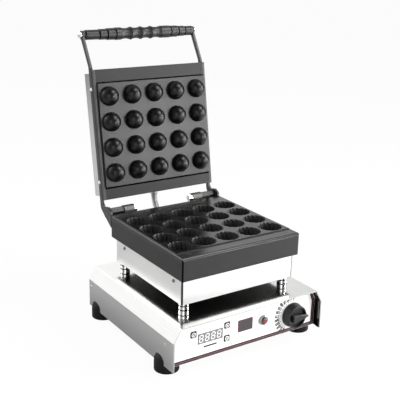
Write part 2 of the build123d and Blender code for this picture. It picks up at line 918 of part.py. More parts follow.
def make_lamp_nut():
    """Nut that holds the lamp from behind the panel."""
    x = lamp_x
    z = base_top - lamp_drop
    nut = hex_bar(17.0, (x, panel_back, z), (x, panel_back + 4.0, z))
    return nut - rod(lamp_barrel_radius, (x, panel_back, z), (x, panel_back + 4.0, z))


def make_temperature_knob():
    """Moulded knob: a drum with a rimmed hollow in its face and a pointed thumb bar across it."""
    z = base_top - knob_drop
    face = panel_face - knob_lift
    r = knob_radius
    f = knob_front_radius
    d = knob_drum
    well = f - knob_rim
    drum = [(0, r - 2.4), (0, r - 0.5), (-0.5, r), (-2.5, r), (-3.5, r - 0.6), (1.2 - d, f), (-d, f - 1.0),
            (-d, well), (knob_recess - d, well - 0.8), (knob_recess - d, 0), (-knob_hollow, 0),
            (-knob_hollow, r - 4.0)]
    knob = turned(drum, (knob_x, face, z), (0, 1, 0))
    p = knob_pointer
    bar = [(-12.0, -6.4), (8.0, -5.2), (p, -1.2), (p, 1.2), (8.0, 5.2), (-12.0, 6.4)]
    outline = Pos(knob_x, z) * make_face(Polyline(*bar, close=True))
    grip = across(outline, face - knob_height, face - d + knob_recess)
    knob += chamfer(grip.faces().sort_by(Axis.Y)[0].edges(), 0.8)
    knob += rod(knob_boss_radius, (knob_x, face - knob_hollow, z), (knob_x, knob_boss_end(), z))
    return knob - knob_shaft_section(knob_shaft_tip(), knob_boss_end())


def knob_shaft_tip():
    """Depth of the shaft's end inside the knob."""
    return panel_face - knob_lift - knob_hollow - 6.0


def knob_boss_end():
    """Depth at which the knob's boss ends, just in front of the thermostat's bushing."""
    return panel_face - bushing_reach - knob_boss_gap


def knob_shaft_section(y0, y1):
    """The D-shaped end of the shaft between two depths."""
    z = base_top - knob_drop
    flat = Circle(shaft_radius) - rectangle_between(-4.0, 4.0, shaft_radius - 0.8, 4.0)
    return across(Pos(knob_x, z) * flat, y0, y1)


def make_thermostat_shaft():
    """Shaft that the knob sits on, turning in the thermostat's bushing."""
    z = base_top - knob_drop
    shaft = rod(shaft_radius, (knob_x, knob_boss_end(), z), (knob_x, panel_back + 6.0, z))
    return shaft + knob_shaft_section(knob_shaft_tip(), knob_boss_end())


def make_thermostat():
    """Bulb thermostat: metal case, bushing through the panel and two blades."""
    z = base_top - knob_drop
    case = across(Pos(knob_x, z) * Rectangle(34.0, 30.0), panel_back, panel_back + 28.0)
    case = chamfer(case.edges().filter_by(Axis.Y), 2.0)
    case += rod(bushing_radius, (knob_x, panel_face - bushing_reach, z), (knob_x, panel_back, z))
    bore = shaft_radius + shaft_clearance
    case -= rod(bore, (knob_x, panel_face - 5.0, z), (knob_x, panel_back + 6.3, z))
    for dx in (-9.0, 9.0):
        x = knob_x + dx
        case += block(x - 0.4, x + 0.4, panel_back + 28.0, panel_back + 36.0, z - 3.2, z + 3.2)
    return case


def make_thermostat_nut():
    """Thin nut that clamps the thermostat to the panel, under the knob."""
    z = base_top - knob_drop
    front = panel_face - bushing_reach
    nut = hex_bar(14.0, (knob_x, front, z), (knob_x, panel_face, z))
    return nut - rod(bushing_radius, (knob_x, front, z), (knob_x, panel_face, z))


def make_thermostat_bulb():
    """Capillary from the thermostat up through the sleeve, ending in its bulb under the clamp plate."""
    z = base_top - knob_drop
    bulb_z = cup_bottom - 2 * element_radius - clamp_sheet - 3.0
    start = (knob_x, panel_back + 28.0, z + 8.0)
    low = z + 8.0
    points = [start, (knob_x, -40.0, low), (3.0, 0.0, low), (3.0, 0.0, bulb_z),
              (bulb_start + 2.0, 0.0, bulb_z)]
    path = FilletPolyline(*points, radius=[20.0, 12.0, 8.0])
    tube = sweep(Plane(origin=path @ 0, z_dir=path % 0) * Circle(1.1), path)
    return tube + rod(bulb_radius, (bulb_start, 0.0, bulb_z), (bulb_end, 0.0, bulb_z))


def make_terminal_block():
    """Six-way terminal block on the floor plate."""
    z = base_bottom + floor_height + base_sheet
    body = block(30.0, 90.0, 70.0, 92.0, z, z + 12.0)
    body += block(30.0, 90.0, 76.0, 86.0, z + 12.0, z + 17.0)
    for i in range(6):
        x = 35.0 + i * 10.0
        body -= rod(2.2, (x, 81.0, z + 9.0), (x, 81.0, z + 17.0))
        body -= rod(1.8, (x, 70.0, z + 5.5), (x, 75.0, z + 5.5))
    return body


def make_cable_gland():
    """Plastic gland in the rear panel where a supply lead would enter."""
    face = base_back - rear_recess
    start = (inlet_x, face, base_top - inlet_drop)
    b = inlet_bore
    profile = [(-10.0, b), (-10.0, 8.0), (0, 8.0), (0, 11.0), (5.0, 11.0), (5.0, 9.6), (13.0, 9.6),
               (16.0, 6.6), (16.0, b)]
    body = turned(profile, start, (0, 1, 0))
    y0 = face - panel_sheet - 5.0
    nut = hex_bar(22.0, (inlet_x, y0, start[2]), (inlet_x, face - panel_sheet, start[2]))
    return body + (nut - rod(7.9, (inlet_x, y0, start[2]), (inlet_x, face - panel_sheet, start[2])))


# Lead between the housing and the lid


def lid_gland_place():
    """Mouth of the lid's gland with the lid open, as (y, z)."""
    turn = math.radians(open_angle)
    a = cover_back + gland_height - hinge_y
    b = lid_gland_z - hinge_z
    y = hinge_y + a * math.cos(turn) + b * math.sin(turn)
    z = hinge_z - a * math.sin(turn) + b * math.cos(turn)
    return (y, z)


def make_gland(direction, start):
    """Metal gland with a hex and a domed end, bored for the lead."""
    bore = conduit_radius - 2.0
    profile = [(0, bore), (0, gland_radius), (4.6, gland_radius), (4.6, gland_radius - 1.0),
               (gland_height - 2.4, gland_radius - 1.4), (gland_height, conduit_radius + 0.8),
               (gland_height, bore)]
    body = turned(profile, start, direction)
    return body + turned([(-5.0, bore), (-5.0, bore + 2.6), (0, bore + 2.6), (0, bore)], start, direction)


def make_lower_gland():
    """Gland in the base top behind the housing."""
    return make_gland((0, 0, 1), (0, lower_gland_y, base_top))


def make_lid_gland():
    """Gland in the hinge-side end of the lid cover."""
    return opened(make_gland((0, 1, 0), (0, cover_back, lid_gland_z)))


def make_lead_conduit():
    """Braided lead that bows back between the two glands, on arcs as large as its runs allow."""
    top = lid_gland_place()
    lower_end = base_top + gland_height
    turn = math.radians(open_angle)
    first = (top[0] + lead_first_run * math.cos(turn), top[1] - lead_first_run * math.sin(turn))
    route = [first, (159.0, -27.5), (140.5, -45.0), (132.0, -62.0), (lower_gland_y, -78.0)]
    points = [(0, *top)] + [(0, *place) for place in route] + [(0, lower_gland_y, lower_end)]
    radii = bend_radii(points)
    print("lead conduit bend radii", [round(r, 1) for r in radii])
    path = FilletPolyline(*points, radius=radii)
    tube = sweep(Plane(origin=path @ 0, z_dir=path % 0) * Circle(conduit_radius), path)
    ideal = math.pi * conduit_radius ** 2 * path.length
    print("lead conduit length", round(path.length, 1), "volume share", round(tube.volume / ideal, 4))
    return tube


def bend_radii(points):
    """The largest arc at each corner that its two runs allow."""
    radii = []
    for before, corner, after in zip(points, points[1:], points[2:]):
        arriving = Vector(*corner) - Vector(*before)
        leaving = Vector(*after) - Vector(*corner)
        turn = math.radians(arriving.get_angle(leaving))
        radii.append(0.45 * min(arriving.length, leaving.length) / math.tan(turn / 2))
    return radii


# Hinge


def bracket_bolt_places():
    """Bracket bolts on one side, as (x, z)."""
    middle = knuckle_inner + knuckle_width / 2
    z = (bracket_foot_top + bracket_foot_bottom) / 2
    reach = bracket_flange / 2 - 6.0
    return [(middle - reach, z), (middle + reach, z)]


def make_hinge_bracket():
    """Cast bracket on the right: a bored knuckle on a cranked leg with a bolting flange."""
    back = hinge_y + knuckle_radius
    front = hinge_y - knuckle_radius
    top = bracket_foot_top - 2.0
    low = bracket_foot_bottom + 4.0
    leg = Polyline((front, hinge_z), (front, top), (housing_back, top), (housing_back, low),
                   (back - 14.0, low), (back, low + 16.0), (back, hinge_z), close=True)
    body = sideways(make_face(leg), knuckle_inner, knuckle_outer)
    body += rod(knuckle_radius, (knuckle_inner, hinge_y, hinge_z), (knuckle_outer, hinge_y, hinge_z))
    middle = (knuckle_inner + knuckle_outer) / 2
    half = bracket_flange / 2
    flange = Pos(middle, (bracket_foot_top + bracket_foot_bottom) / 2) * RectangleRounded(
        bracket_flange, bracket_foot_top - bracket_foot_bottom, 5.0)
    body += across(flange, housing_back, housing_back + bracket_sheet)
    bore = hinge_pin_radius + hinge_clearance
    body -= rod(bore, (knuckle_inner - 1, hinge_y, hinge_z), (knuckle_outer + 1, hinge_y, hinge_z))
    for x, z in bracket_bolt_places():
        hole = bracket_bolt_radius + drilled_gap
        body -= rod(hole, (x, housing_back - 1, z), (x, housing_back + bracket_sheet + 1, z))
    return body


def make_bracket_bolts():
    """Bolts and nuts that hold the brackets to the housing's back."""
    pieces = []
    inner = housing_back - housing_sheet
    outer = housing_back + bracket_sheet
    for x, z in bracket_bolt_places():
        bolt = rod(bracket_bolt_radius, (x, inner - bolt_nut, z), (x, outer, z))
        bolt += hex_bar(bolt_flats, (x, outer, z), (x, outer + bolt_head, z))
        bolt += hex_bar(bolt_flats, (x, inner - bolt_nut + 0.5, z), (x, inner, z))
        pieces += both_sides(bolt)
    return group(pieces)


def make_hinge_pin():
    """Right hinge pin, turning in the knuckle and fixed in the spacer."""
    inner = knuckle_inner - hinge_gap - 6.5
    outer = arm_inner - 4.0
    return rod(hinge_pin_radius, (inner, hinge_y, hinge_z), (outer, hinge_y, hinge_z))


def make_hinge_nut():
    """Plated nut and washer on the inner end of the right pin."""
    outer = knuckle_inner - hinge_gap
    washer = rod(8.0, (outer - 1.2, hinge_y, hinge_z), (outer, hinge_y, hinge_z))
    nut = washer + hex_bar(12.0, (outer - 6.0, hinge_y, hinge_z), (outer - 1.2, hinge_y, hinge_z))
    return nut - rod(hinge_pin_radius, (outer - 6.0, hinge_y, hinge_z), (outer, hinge_y, hinge_z))


def make_hinge_spacer():
    """Six-sided spacer between the right arm and its knuckle."""
    inner = knuckle_outer + hinge_gap
    bar = hex_bar(spacer_flats, (inner, hinge_y, hinge_z), (arm_inner, hinge_y, hinge_z))
    return bar - rod(hinge_pin_radius, (inner, hinge_y, hinge_z), (arm_inner - 4.0, hinge_y, hinge_z))


def hinge_pair(shape):
    """A hinge piece that rides with the lid, on both sides, swung open."""
    return [opened(side) for side in both_sides(shape)]


# Lid


def make_lid_mould():
    """Casting with a raised field and one dome for each cup."""
    half = lid_half_width - lid_edge - seam
    plate = block(-half, half, lid_front, lid_back, band_face, mould_back_face)
    field_y0 = lid_front + band_front_depth
    field_y1 = lid_back - band_back_depth
    slope = field_slope
    low = rectangle_between(-half + slope, half - slope, field_y0 + slope, field_y1 - slope)
    high = rectangle_between(-half, half, field_y0, field_y1)
    plate += loft([Pos(0, 0, closed_lid_face) * low, Pos(0, 0, band_face) * high], ruled=True)
    dome = dome_solid()
    for x, y in cup_places():
        plate += Pos(x, y, closed_lid_face) * dome
    return opened(plate)


def dome_solid():
    """Half a ball that hangs from z = 0, with a root that runs up into the plate."""
    steps = 5
    angles = [math.pi / 2 * i / steps for i in range(1, steps + 1)]
    arc = [(dome_radius * math.sin(a), -dome_radius * math.cos(a)) for a in angles]
    outline = make_face(Polyline((0, 1.0), (0, -dome_radius), *arc, (dome_radius, 1.0), close=True))
    return revolve(Plane.XZ * outline, Axis.Z)


def make_lid_frame():
    """Frame that carries the mould, with a deep edge along the sides and upstands for the cover."""
    half = lid_half_width
    ring = block(-half, half, lid_front, lid_back, mould_back_face, frame_back)
    inner = half - lid_edge - frame_lap
    ring -= block(-inner, inner, lid_front + frame_lap + 2.0, lid_back - frame_lap - 2.0,
                  mould_back_face - 1, frame_back + 1)
    edge = block(half - lid_edge, half, lid_front, lid_back, band_face, mould_back_face)
    outer = arm_inner - cover_sheet - 0.1
    rib = block(outer - upstand, outer, -100.0, 100.0, frame_back, frame_back + arm_width)
    for y in arm_screw_ys:
        rib -= rod(screw_radius, (outer - upstand - 1, y, bar_middle), (outer + 1, y, bar_middle))
    for piece in both_sides(edge) + both_sides(rib):
        ring += piece
    return opened(ring)


def make_lid_element():
    """Tubular element behind the lid mould."""
    return opened(serpentine(mould_back_face + element_radius))


def make_lid_clamp():
    """Clamp plate behind the lid element."""
    return opened(clamp_plate(mould_back_face + 2 * element_radius))


def make_lid_insulation():
    """Mineral wool slab inside the cover."""
    low = mould_back_face + 2 * element_radius + clamp_sheet + insulation_gap
    high = frame_back + cover_height - cover_sheet - insulation_gap
    half = lid_insulation_half_width
    return opened(block(-half, half, -insulation_half_depth, insulation_half_depth, low, high))


def make_lid_cover():
    """Folded stainless cover over the back of the lid."""
    top = frame_back + cover_height
    outer = block(-arm_inner, arm_inner, cover_front, cover_back, frame_back, top)
    outer = fillet(outer.edges().filter_by(Axis.Z), cover_bend)
    outer = fillet(outer.faces().sort_by(Axis.Z)[-1].edges(), cover_bend)
    t = cover_sheet
    inner = block(-arm_inner + t, arm_inner - t, cover_front + t, cover_back - t, frame_back, top - t)
    inner = fillet(inner.edges().filter_by(Axis.Z), cover_bend - t)
    inner = fillet(inner.faces().sort_by(Axis.Z)[-1].edges(), cover_bend - t)
    shell = outer - inner
    bore = conduit_radius + 0.8
    shell -= rod(bore, (0, cover_back - 3, lid_gland_z), (0, cover_back + 1, lid_gland_z))
    for y in arm_screw_ys:
        start = (-arm_inner - 1, y, bar_middle)
        shell -= rod(screw_radius + drilled_gap, start, (arm_inner + 1, y, bar_middle))
    return opened(shell)


# Arms and handle


def arm_outline():
    """Side view of one arm in (y, z): handle eye, crank, straight bar, hinge boss and heel."""
    low = frame_back
    high = frame_back + arm_width
    angle = math.atan2(handle_z - bar_middle, arm_bend_y - handle_y)
    off = arm_width / 2
    ny = off * math.sin(angle)
    nz = off * math.cos(angle)
    turn = math.radians(heel_angle)
    edge_y = hinge_y + heel_width / 2 * math.sin(turn)
    edge_z = hinge_z + heel_width / 2 * math.cos(turn)
    shoulder_y = edge_y - (high - edge_z) / math.tan(turn)
    tip_y = edge_y + heel_length * math.cos(turn)
    tip_z = edge_z - heel_length * math.sin(turn)
    bar = make_face(Polyline(
        (handle_y + ny, handle_z + nz), (arm_bend_y, high), (shoulder_y, high), (tip_y, tip_z),
        (hinge_y + 3.0, hinge_z - 18.0), (hinge_y - 4.0, hinge_z - 17.6),
        (hinge_y - arm_boss_radius, hinge_z - 8.0),
        (hinge_y - arm_boss_radius + 1.2, hinge_z + 8.0), (128.0, low), (arm_bend_y + 2.0, low),
        (handle_y - ny, handle_z - nz), close=True))
    bends = [v for v in bar.vertices() if abs(v.Y - high) < 0.01 and v.X > 0]
    bar = fillet(bends, 14.0)
    bar += Pos(hinge_y, hinge_z) * Circle(arm_boss_radius)
    bar += Pos(handle_y, handle_z) * Circle(handle_eye)
    return bar


def stop_block():
    """The space that the open arm must leave for the mould's back wall, in the closed position."""
    wall = block(-arm_outer - 5, arm_outer + 5, mould_back - 60.0, mould_back + stop_gap, -60.0, 20.0)
    return wall.rotate(hinge_line, open_angle)


def make_arm():
    """Right arm: one flat plate from the handle to the heel that stops the lid when open."""
    plate = sideways(arm_outline(), arm_inner, arm_outer)
    plate -= stop_block()
    x0 = arm_inner - 1
    x1 = arm_outer + 1
    plate -= rod(handle_rod_radius, (x0, handle_y, handle_z), (x1, handle_y, handle_z))
    for y in arm_screw_ys:
        plate -= rod(screw_radius + drilled_gap, (x0, y, bar_middle), (x1, y, bar_middle))
    return plate


def make_arm_screws():
    """Screws through arm and cover into the frame's upstands."""
    start = arm_inner - cover_sheet - 0.1 - upstand
    length = arm_outer - start
    r = screw_radius
    profile = [(0, 0), (0, r), (length, r), (length, 3.5), (length + 1.2, 3.2), (length + 2.3, 1.8),
               (length + 2.3, 0)]
    screws = []
    for y in arm_screw_ys:
        screws += both_sides(turned(profile, (start, y, bar_middle), (1, 0, 0)))
    return opened(group(screws))


def make_handle_rod():
    """Steel rod from arm to arm with a domed nut outside each arm and one nut by the grip."""
    end = arm_outer + 2.0
    y = handle_y
    z = handle_z
    pin = rod(handle_rod_radius, (-end, y, z), (end, y, z))
    dome = [(0, 0), (0, 6.2), (3.4, 6.2), (4.8, 4.6), (5.6, 2.6), (5.9, 0)]
    for cap in both_sides(turned(dome, (arm_outer, y, z), (1, 0, 0))):
        pin += cap
    pin += hex_bar(11.0, (-arm_inner, y, z), (grip_left, y, z))
    return opened(pin)


def grip_profile():
    """Half section of the grip as (x, radius): stepped ends, ring grooves and four finger hollows."""
    right = arm_inner - 0.3
    left_steps = [(grip_left, 9.2), (-90.0, 9.2), (-89.6, 7.6), (-87.0, 7.6), (-86.6, 10.0), (-73.8, 10.0),
                  (-73.4, 8.2), (-70.8, 8.2), (-70.4, 11.0), (-56.2, 11.0), (-55.8, 9.0), (-53.2, 9.0),
                  (-52.8, 11.7), (-42.0, 11.7)]
    right_steps = [(46.0, 11.7), (66.0, 11.7), (66.4, 9.0), (69.0, 9.0), (69.4, 11.0), (83.8, 11.0),
                   (84.2, 8.2), (86.8, 8.2), (87.2, 10.0), (99.8, 10.0), (100.2, 7.6), (102.8, 7.6),
                   (103.2, 9.2), (right, 9.2)]
    return left_steps, right_steps


def make_handle_grip():
    """Black moulded grip with finger hollows."""
    left_steps, right_steps = grip_profile()
    hollows = 4
    start = left_steps[-1]
    end = right_steps[0]
    pitch = (end[0] - start[0]) / hollows
    crest = 12.4
    valley = 9.9
    lines = [Polyline(*left_steps)]
    last = start
    for i in range(hollows):
        x = start[0] + (i + 1) * pitch
        ridge = (x, crest) if i < hollows - 1 else end
        lines.append(ThreePointArc(last, (x - pitch / 2, valley), ridge))
        last = ridge
    lines.append(Polyline(*right_steps))
    bore = handle_rod_radius + grip_bore_gap
    left = left_steps[0]
    right = right_steps[-1]
    lines.append(Polyline(right, (right[0], bore), (left[0], bore), left))
    section = make_face([edge for line in lines for edge in line.edges()])
    grip = revolve(section, Axis.X)
    for x in (-62.5, 76.5):
        grip -= rod(1.5, (x, -20.0, 0), (x, -6.0, 0))
    grip = Pos(0, handle_y, handle_z) * Rot(-90 + open_angle, 0, 0) * grip
    return opened(grip)


# Assembly


def make_all():
    """Every piece by the name of its file."""
    parts = {
        "base_shell": make_base_shell(),
        "front_panel": make_front_panel(),
        "panel_overlay": make_panel_overlay(),
        "rear_panel": make_rear_panel(),
        "floor_plate": make_floor_plate(),
        "foot_screws": make_foot_screws(),
        "panel_screws": make_panel_screws(),
        "posts": make_posts(),
        "post_studs": make_post_studs(),
        "wire_sleeve": make_wire_sleeve(),
        "lower_housing": make_lower_housing(),
        "housing_screws": make_housing_screws(),
        "lower_mould": make_lower_mould(),
        "ledge_screws": group(ledge_screws()),
        "lower_element": serpentine(cup_bottom - element_radius),
        "lower_clamp": make_lower_clamp(),
        "clamp_screws": make_clamp_screws(),
        "lower_insulation": make_lower_insulation(),
        "display_window": make_display_window(),
        "display_module": make_display_module(),
        "control_board": make_control_board(),
        "board_standoffs": make_board_standoffs(),
        "badge_plate": make_badge_plate(),
        "lamp_bezel": make_lamp_bezel(),
        "lamp_lens": make_lamp_lens(),
        "lamp_body": make_lamp_body(),
        "temperature_knob": make_temperature_knob(),
        "thermostat_shaft": make_thermostat_shaft(),
        "thermostat": make_thermostat(),
        "panel_nuts": group([make_lamp_nut(), make_thermostat_nut()]),
        "thermostat_bulb": make_thermostat_bulb(),
        "terminal_block": make_terminal_block(),
        "cable_gland": make_cable_gland(),
        "lower_gland": make_lower_gland(),
        "lead_conduit": make_lead_conduit(),
        "lid_gland": make_lid_gland(),
        "bracket_bolts": make_bracket_bolts(),
        "hinge_nuts": group(hinge_pair(make_hinge_nut())),
        "lid_mould": make_lid_mould(),
        "lid_frame": make_lid_frame(),
        "lid_element": make_lid_element(),
        "lid_clamp": make_lid_clamp(),
        "lid_insulation": make_lid_insulation(),
        "lid_cover": make_lid_cover(),
        "arm_screws": make_arm_screws(),
        "handle_rod": make_handle_rod(),
        "handle_grip": make_handle_grip(),
    }
    corners = ("front_left", "front_right", "back_left", "back_right")
    for corner, (x, y) in zip(corners, foot_places()):
        parts["foot_" + corner] = make_foot(x, y)
    for name, (x, z) in key_places().items():
        parts[name] = make_key(x, z)
    right_bracket, left_bracket = both_sides(make_hinge_bracket())
    parts["hinge_bracket_right"] = right_bracket
    parts["hinge_bracket_left"] = left_bracket
    for name, shape in (("hinge_pins", make_hinge_pin()), ("hinge_spacers", make_hinge_spacer())):
        parts[name] = group(hinge_pair(shape))
    right_arm, left_arm = hinge_pair(make_arm())
    parts["arm_right"] = right_arm
    parts["arm_left"] = left_arm
    return parts


def to_row_frame(parts):
    """Move the zero to the middle of the footprint of the whole machine, at table height."""
    boxes = [shape.bounding_box() for shape in parts.values()]
    low = [min(value) for value in zip(*[tuple(box.min) for box in boxes])]
    high = [max(value) for value in zip(*[tuple(box.max) for box in boxes])]
    shift = (-(low[0] + high[0]) / 2, -(low[1] + high[1]) / 2, -low[2])
    print("shift", [round(value, 4) for value in shift])
    print("size", [round(b - a, 3) for a, b in zip(low, high)])
    return {name: shape.moved(Location(shift)) for name, shape in parts.items()}


os.makedirs("parts", exist_ok=True)
for name, shape in to_row_frame(make_all()).items():
    export_step(shape, "parts/" + name + ".step")
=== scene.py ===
"""Dresses the tartlet shell maker: finishes for its solids, printed details, the lid's lead, and a studio."""

import json
import logging
import math
from dataclasses import dataclass
from enum import Enum
from functools import cached_property
from typing import Any, Optional, Sequence, Union

import bmesh
import bpy
import numpy as np
from mathutils import Matrix, Vector


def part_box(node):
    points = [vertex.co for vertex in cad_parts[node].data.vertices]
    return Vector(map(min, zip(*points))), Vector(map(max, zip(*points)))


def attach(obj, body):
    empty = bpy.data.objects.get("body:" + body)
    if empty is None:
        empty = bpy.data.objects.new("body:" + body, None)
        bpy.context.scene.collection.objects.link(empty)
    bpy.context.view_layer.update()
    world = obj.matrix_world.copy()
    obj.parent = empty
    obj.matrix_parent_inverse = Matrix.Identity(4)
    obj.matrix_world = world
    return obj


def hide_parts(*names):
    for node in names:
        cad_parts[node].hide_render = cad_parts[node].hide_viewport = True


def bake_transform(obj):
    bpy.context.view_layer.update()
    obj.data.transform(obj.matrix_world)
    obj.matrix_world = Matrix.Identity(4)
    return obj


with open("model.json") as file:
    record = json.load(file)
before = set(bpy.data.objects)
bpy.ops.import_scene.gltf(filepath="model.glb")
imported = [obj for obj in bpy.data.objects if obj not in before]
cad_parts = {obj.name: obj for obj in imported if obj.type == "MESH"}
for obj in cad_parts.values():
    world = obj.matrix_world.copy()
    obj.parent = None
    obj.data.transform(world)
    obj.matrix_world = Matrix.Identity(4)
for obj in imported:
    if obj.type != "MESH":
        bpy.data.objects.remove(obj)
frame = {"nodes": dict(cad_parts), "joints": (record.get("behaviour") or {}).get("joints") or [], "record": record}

log = logging.getLogger("tartlet_shell_maker")
MM = 0.001
DIAGONAL = math.sqrt(0.5)
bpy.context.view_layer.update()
# A noise lies nearly all between these two values.
NOISE_RANGE = {"From Min": 0.3, "From Max": 0.7}

Node = bpy.types.Node
Socket = bpy.types.NodeSocket
Source = Union[Node, Socket]
Mesh = bpy.types.Mesh
Work = bmesh.types.BMesh
Ring = Sequence[bmesh.types.BMVert]
Triple = tuple[float, float, float]
Spot = tuple[float, float]
Outlines = list[list[Spot]]


# Small helpers


def linear(code: str) -> tuple[float, float, float, float]:
    """Turn an sRGB hex colour into linear RGBA.

    Args:
        code: Colour as "#rrggbb".

    Returns:
        Linear red, green, blue and an alpha of one.
    """
    channels = [int(code[i:i + 2], 16) / 255 for i in (1, 3, 5)]
    red, green, blue = (c / 12.92 if c <= 0.04045 else ((c + 0.055) / 1.055) ** 2.4 for c in channels)
    return (red, green, blue, 1.0)


def per_millimetre(size_mm: float) -> float:
    """Texture scale, in cycles per metre, of a pattern whose features are size_mm across."""
    return 1.0 / (size_mm * MM)


def centre_of(node: str) -> Vector:
    """Middle of a CAD node's box."""
    low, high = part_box(node)
    return (low + high) / 2


def up_the_lid(normal: Triple) -> Triple:
    """Direction from the hinge to the handle, in the plane of the open lid."""
    return (0.0, normal[2], -normal[1])


@dataclass(frozen=True)
class Band:
    """Part of a surface that lies between two distances along a direction and has its own colour."""

    way: Triple
    low: float
    high: float
    colour: str


def front_corners(node: str, cut: float, colour: str) -> tuple[Band, ...]:
    """Bands along both front upright corners of a CAD node, from that far inside them."""
    low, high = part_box(node)
    reach = DIAGONAL * (high.x - low.y) - cut
    return tuple(Band((side * DIAGONAL, -DIAGONAL, 0.0), reach, 1.0, colour) for side in (-1, 1))


# Finishes


class Tree:
    """A node tree under construction, with the patterns that several finishes share."""

    def __init__(self, owner: Union[bpy.types.Material, bpy.types.World]) -> None:
        """Empty the node tree of a material or of the world.

        Args:
            owner: What the tree belongs to.
        """
        owner.use_nodes = True
        self.nodes, self.links = owner.node_tree.nodes, owner.node_tree.links
        self.nodes.clear()

    def add(self, kind: str, inputs: Optional[dict[Any, Any]] = None, **settings: Any) -> Node:
        """Add one node with its settings, values and links.

        Args:
            kind: Blender's name of the node type, without "ShaderNode".
            inputs: What each input takes, by name or index: a constant, a hex colour, a socket, or a node
                for its first output.
            **settings: Properties of the node itself.

        Returns:
            The new node.
        """
        node = self.nodes.new("ShaderNode" + kind)
        for name, value in settings.items():
            setattr(node, name, value)
        for key, value in (inputs or {}).items():
            if isinstance(value, Node):
                value = value.outputs[0]
            if isinstance(value, Socket):
                self.links.new(value, node.inputs[key])
            else:
                node.inputs[key].default_value = linear(value) if isinstance(value, str) else value
        return node

    @cached_property
    def coordinates(self) -> Any:
        """Texture coordinates by name."""
        return self.add("TexCoord").outputs

    @cached_property
    def place(self) -> Socket:
        """Position on the piece, in metres, in the frame of the whole machine."""
        return self.coordinates["Object"]

    @cached_property
    def axes(self) -> Any:
        """Position on the piece along X, Y and Z."""
        return self.add("SeparateXYZ", {"Vector": self.place}).outputs

    def along(self, way: Triple, place: Optional[Socket] = None) -> Socket:
        """Distance of a point along a direction; by default of the position on the piece."""
        ends = {0: place or self.place, 1: way}
        return self.add("VectorMath", ends, operation="DOT_PRODUCT").outputs["Value"]

    def within(self, value: Source, low: float, high: float) -> Node:
        """One where the value lies between two limits, zero elsewhere."""
        above = self.add("Math", {0: value, 1: low}, operation="GREATER_THAN")
        below = self.add("Math", {0: value, 1: high}, operation="LESS_THAN")
        return self.add("Math", {0: above, 1: below}, operation="MULTIPLY")

    def inside(self, band: Band) -> Node:
        """One inside a band, zero elsewhere."""
        return self.within(self.along(band.way), band.low, band.high)

    def tint(self, factor: Source, low: str, high: str, start: float = 0.3, end: float = 0.7) -> Node:
        """Run between two hex colours while the factor goes from start to end."""
        ramp = self.add("ValToRGB", {"Fac": factor})
        for element, position, code in zip(ramp.color_ramp.elements, (start, end), (low, high)):
            element.position = position
            element.color = linear(code)
        return ramp

    def painted(self, colour: Any, *layers: tuple[Source, Any]) -> Socket:
        """Lay colours over a ground, each where its factor is one."""
        for factor, layer in layers:
            colour = self.add("Mix", {0: factor, 6: colour, 7: layer}, data_type="RGBA").outputs[2]
        return colour

    def bumped(self, height: Source, strength: float, distance: float, **inputs: Any) -> Node:
        """Principled shader over a bump; its inputs' names have underscores for their spaces."""
        bump = self.add("Bump", {"Height": height, "Strength": strength, "Distance": distance})
        named = {name.replace("_", " "): value for name, value in inputs.items()}
        return self.add("BsdfPrincipled", {**named, "Normal": bump})


@dataclass(frozen=True)
class Finish:
    """Common ground of all finishes: a name, and the material that is built once."""

    name: str

    def material(self) -> bpy.types.Material:
        """The material of this finish, built at its first use."""
        found = bpy.data.materials.get(self.name)
        if found is not None:
            return found
        made = bpy.data.materials.new(self.name)
        tree = Tree(made)
        tree.add("OutputMaterial", {"Surface": self.shade(tree)})
        return made

    def shade(self, tree: Tree) -> Node:
        """Build the shader; each finish has its own."""
        raise NotImplementedError


class Grain(Enum):
    """Which way the polishing lines of a sheet run."""

    ALONG_Y = (1.0, 0.02, 1.0)
    LEVEL = (0.02, 0.02, 1.0)
    ALONG_X = (0.02, 1.0, 1.0)


@dataclass(frozen=True)
class Metal(Finish):
    """Bare or plated metal, mottled between two tones, with dark bands: lines along corners, or painted shade in
    grooves.
    """

    light: str = "#dcdcdc"
    dark: str = "#c8c8c8"
    roughness: float = 0.1
    bands: tuple[Band, ...] = ()

    def colour(self, tree: Tree, mottle: Source) -> Source:
        """Colour of the metal; a piece with several zones says more."""
        bands = ((tree.inside(band), band.colour) for band in self.bands)
        return tree.painted(tree.tint(mottle, self.dark, self.light), *bands)


@dataclass(frozen=True)
class StainlessSheet(Metal):
    """Stainless steel sheet with a fine polish: soft mirror with faint lines and handling marks."""

    light: str = "#cdcdcb"
    dark: str = "#c6c6c5"
    roughness: float = 0.22
    grain: Grain = Grain.ALONG_Y
    line_mm: float = 1.4
    line_strength: float = 0.05
    cloud_mm: float = 60.0

    def shade(self, tree: Tree) -> Node:
        """Blurred reflection that varies along the polishing lines."""
        stretched = tree.add("Mapping", {"Vector": tree.place, "Scale": self.grain.value})
        # Real lines are about 0.1 mm apart. They are drawn over a millimetre apart, or none would show.
        lines = tree.add("TexNoise", {
            "Vector": stretched, "Scale": per_millimetre(self.line_mm), "Detail": 5.0, "Roughness": 0.65})
        clouds = tree.add("TexNoise", {
            "Vector": tree.place, "Scale": per_millimetre(self.cloud_mm), "Detail": 3.0, "Roughness": 0.5})
        faint = tree.add("Math", {0: clouds, 1: 0.4}, operation="MULTIPLY")
        mottle = tree.add("Math", {0: lines, 1: 0.6, 2: faint}, operation="MULTIPLY_ADD")
        roughness = tree.add("MapRange", {
            **NOISE_RANGE, "Value": mottle, "To Min": self.roughness - 0.03, "To Max": self.roughness + 0.05})
        return tree.bumped(lines, self.line_strength, 0.05 * MM, Metallic=1.0,
                           Base_Color=self.colour(tree, mottle), Roughness=roughness)


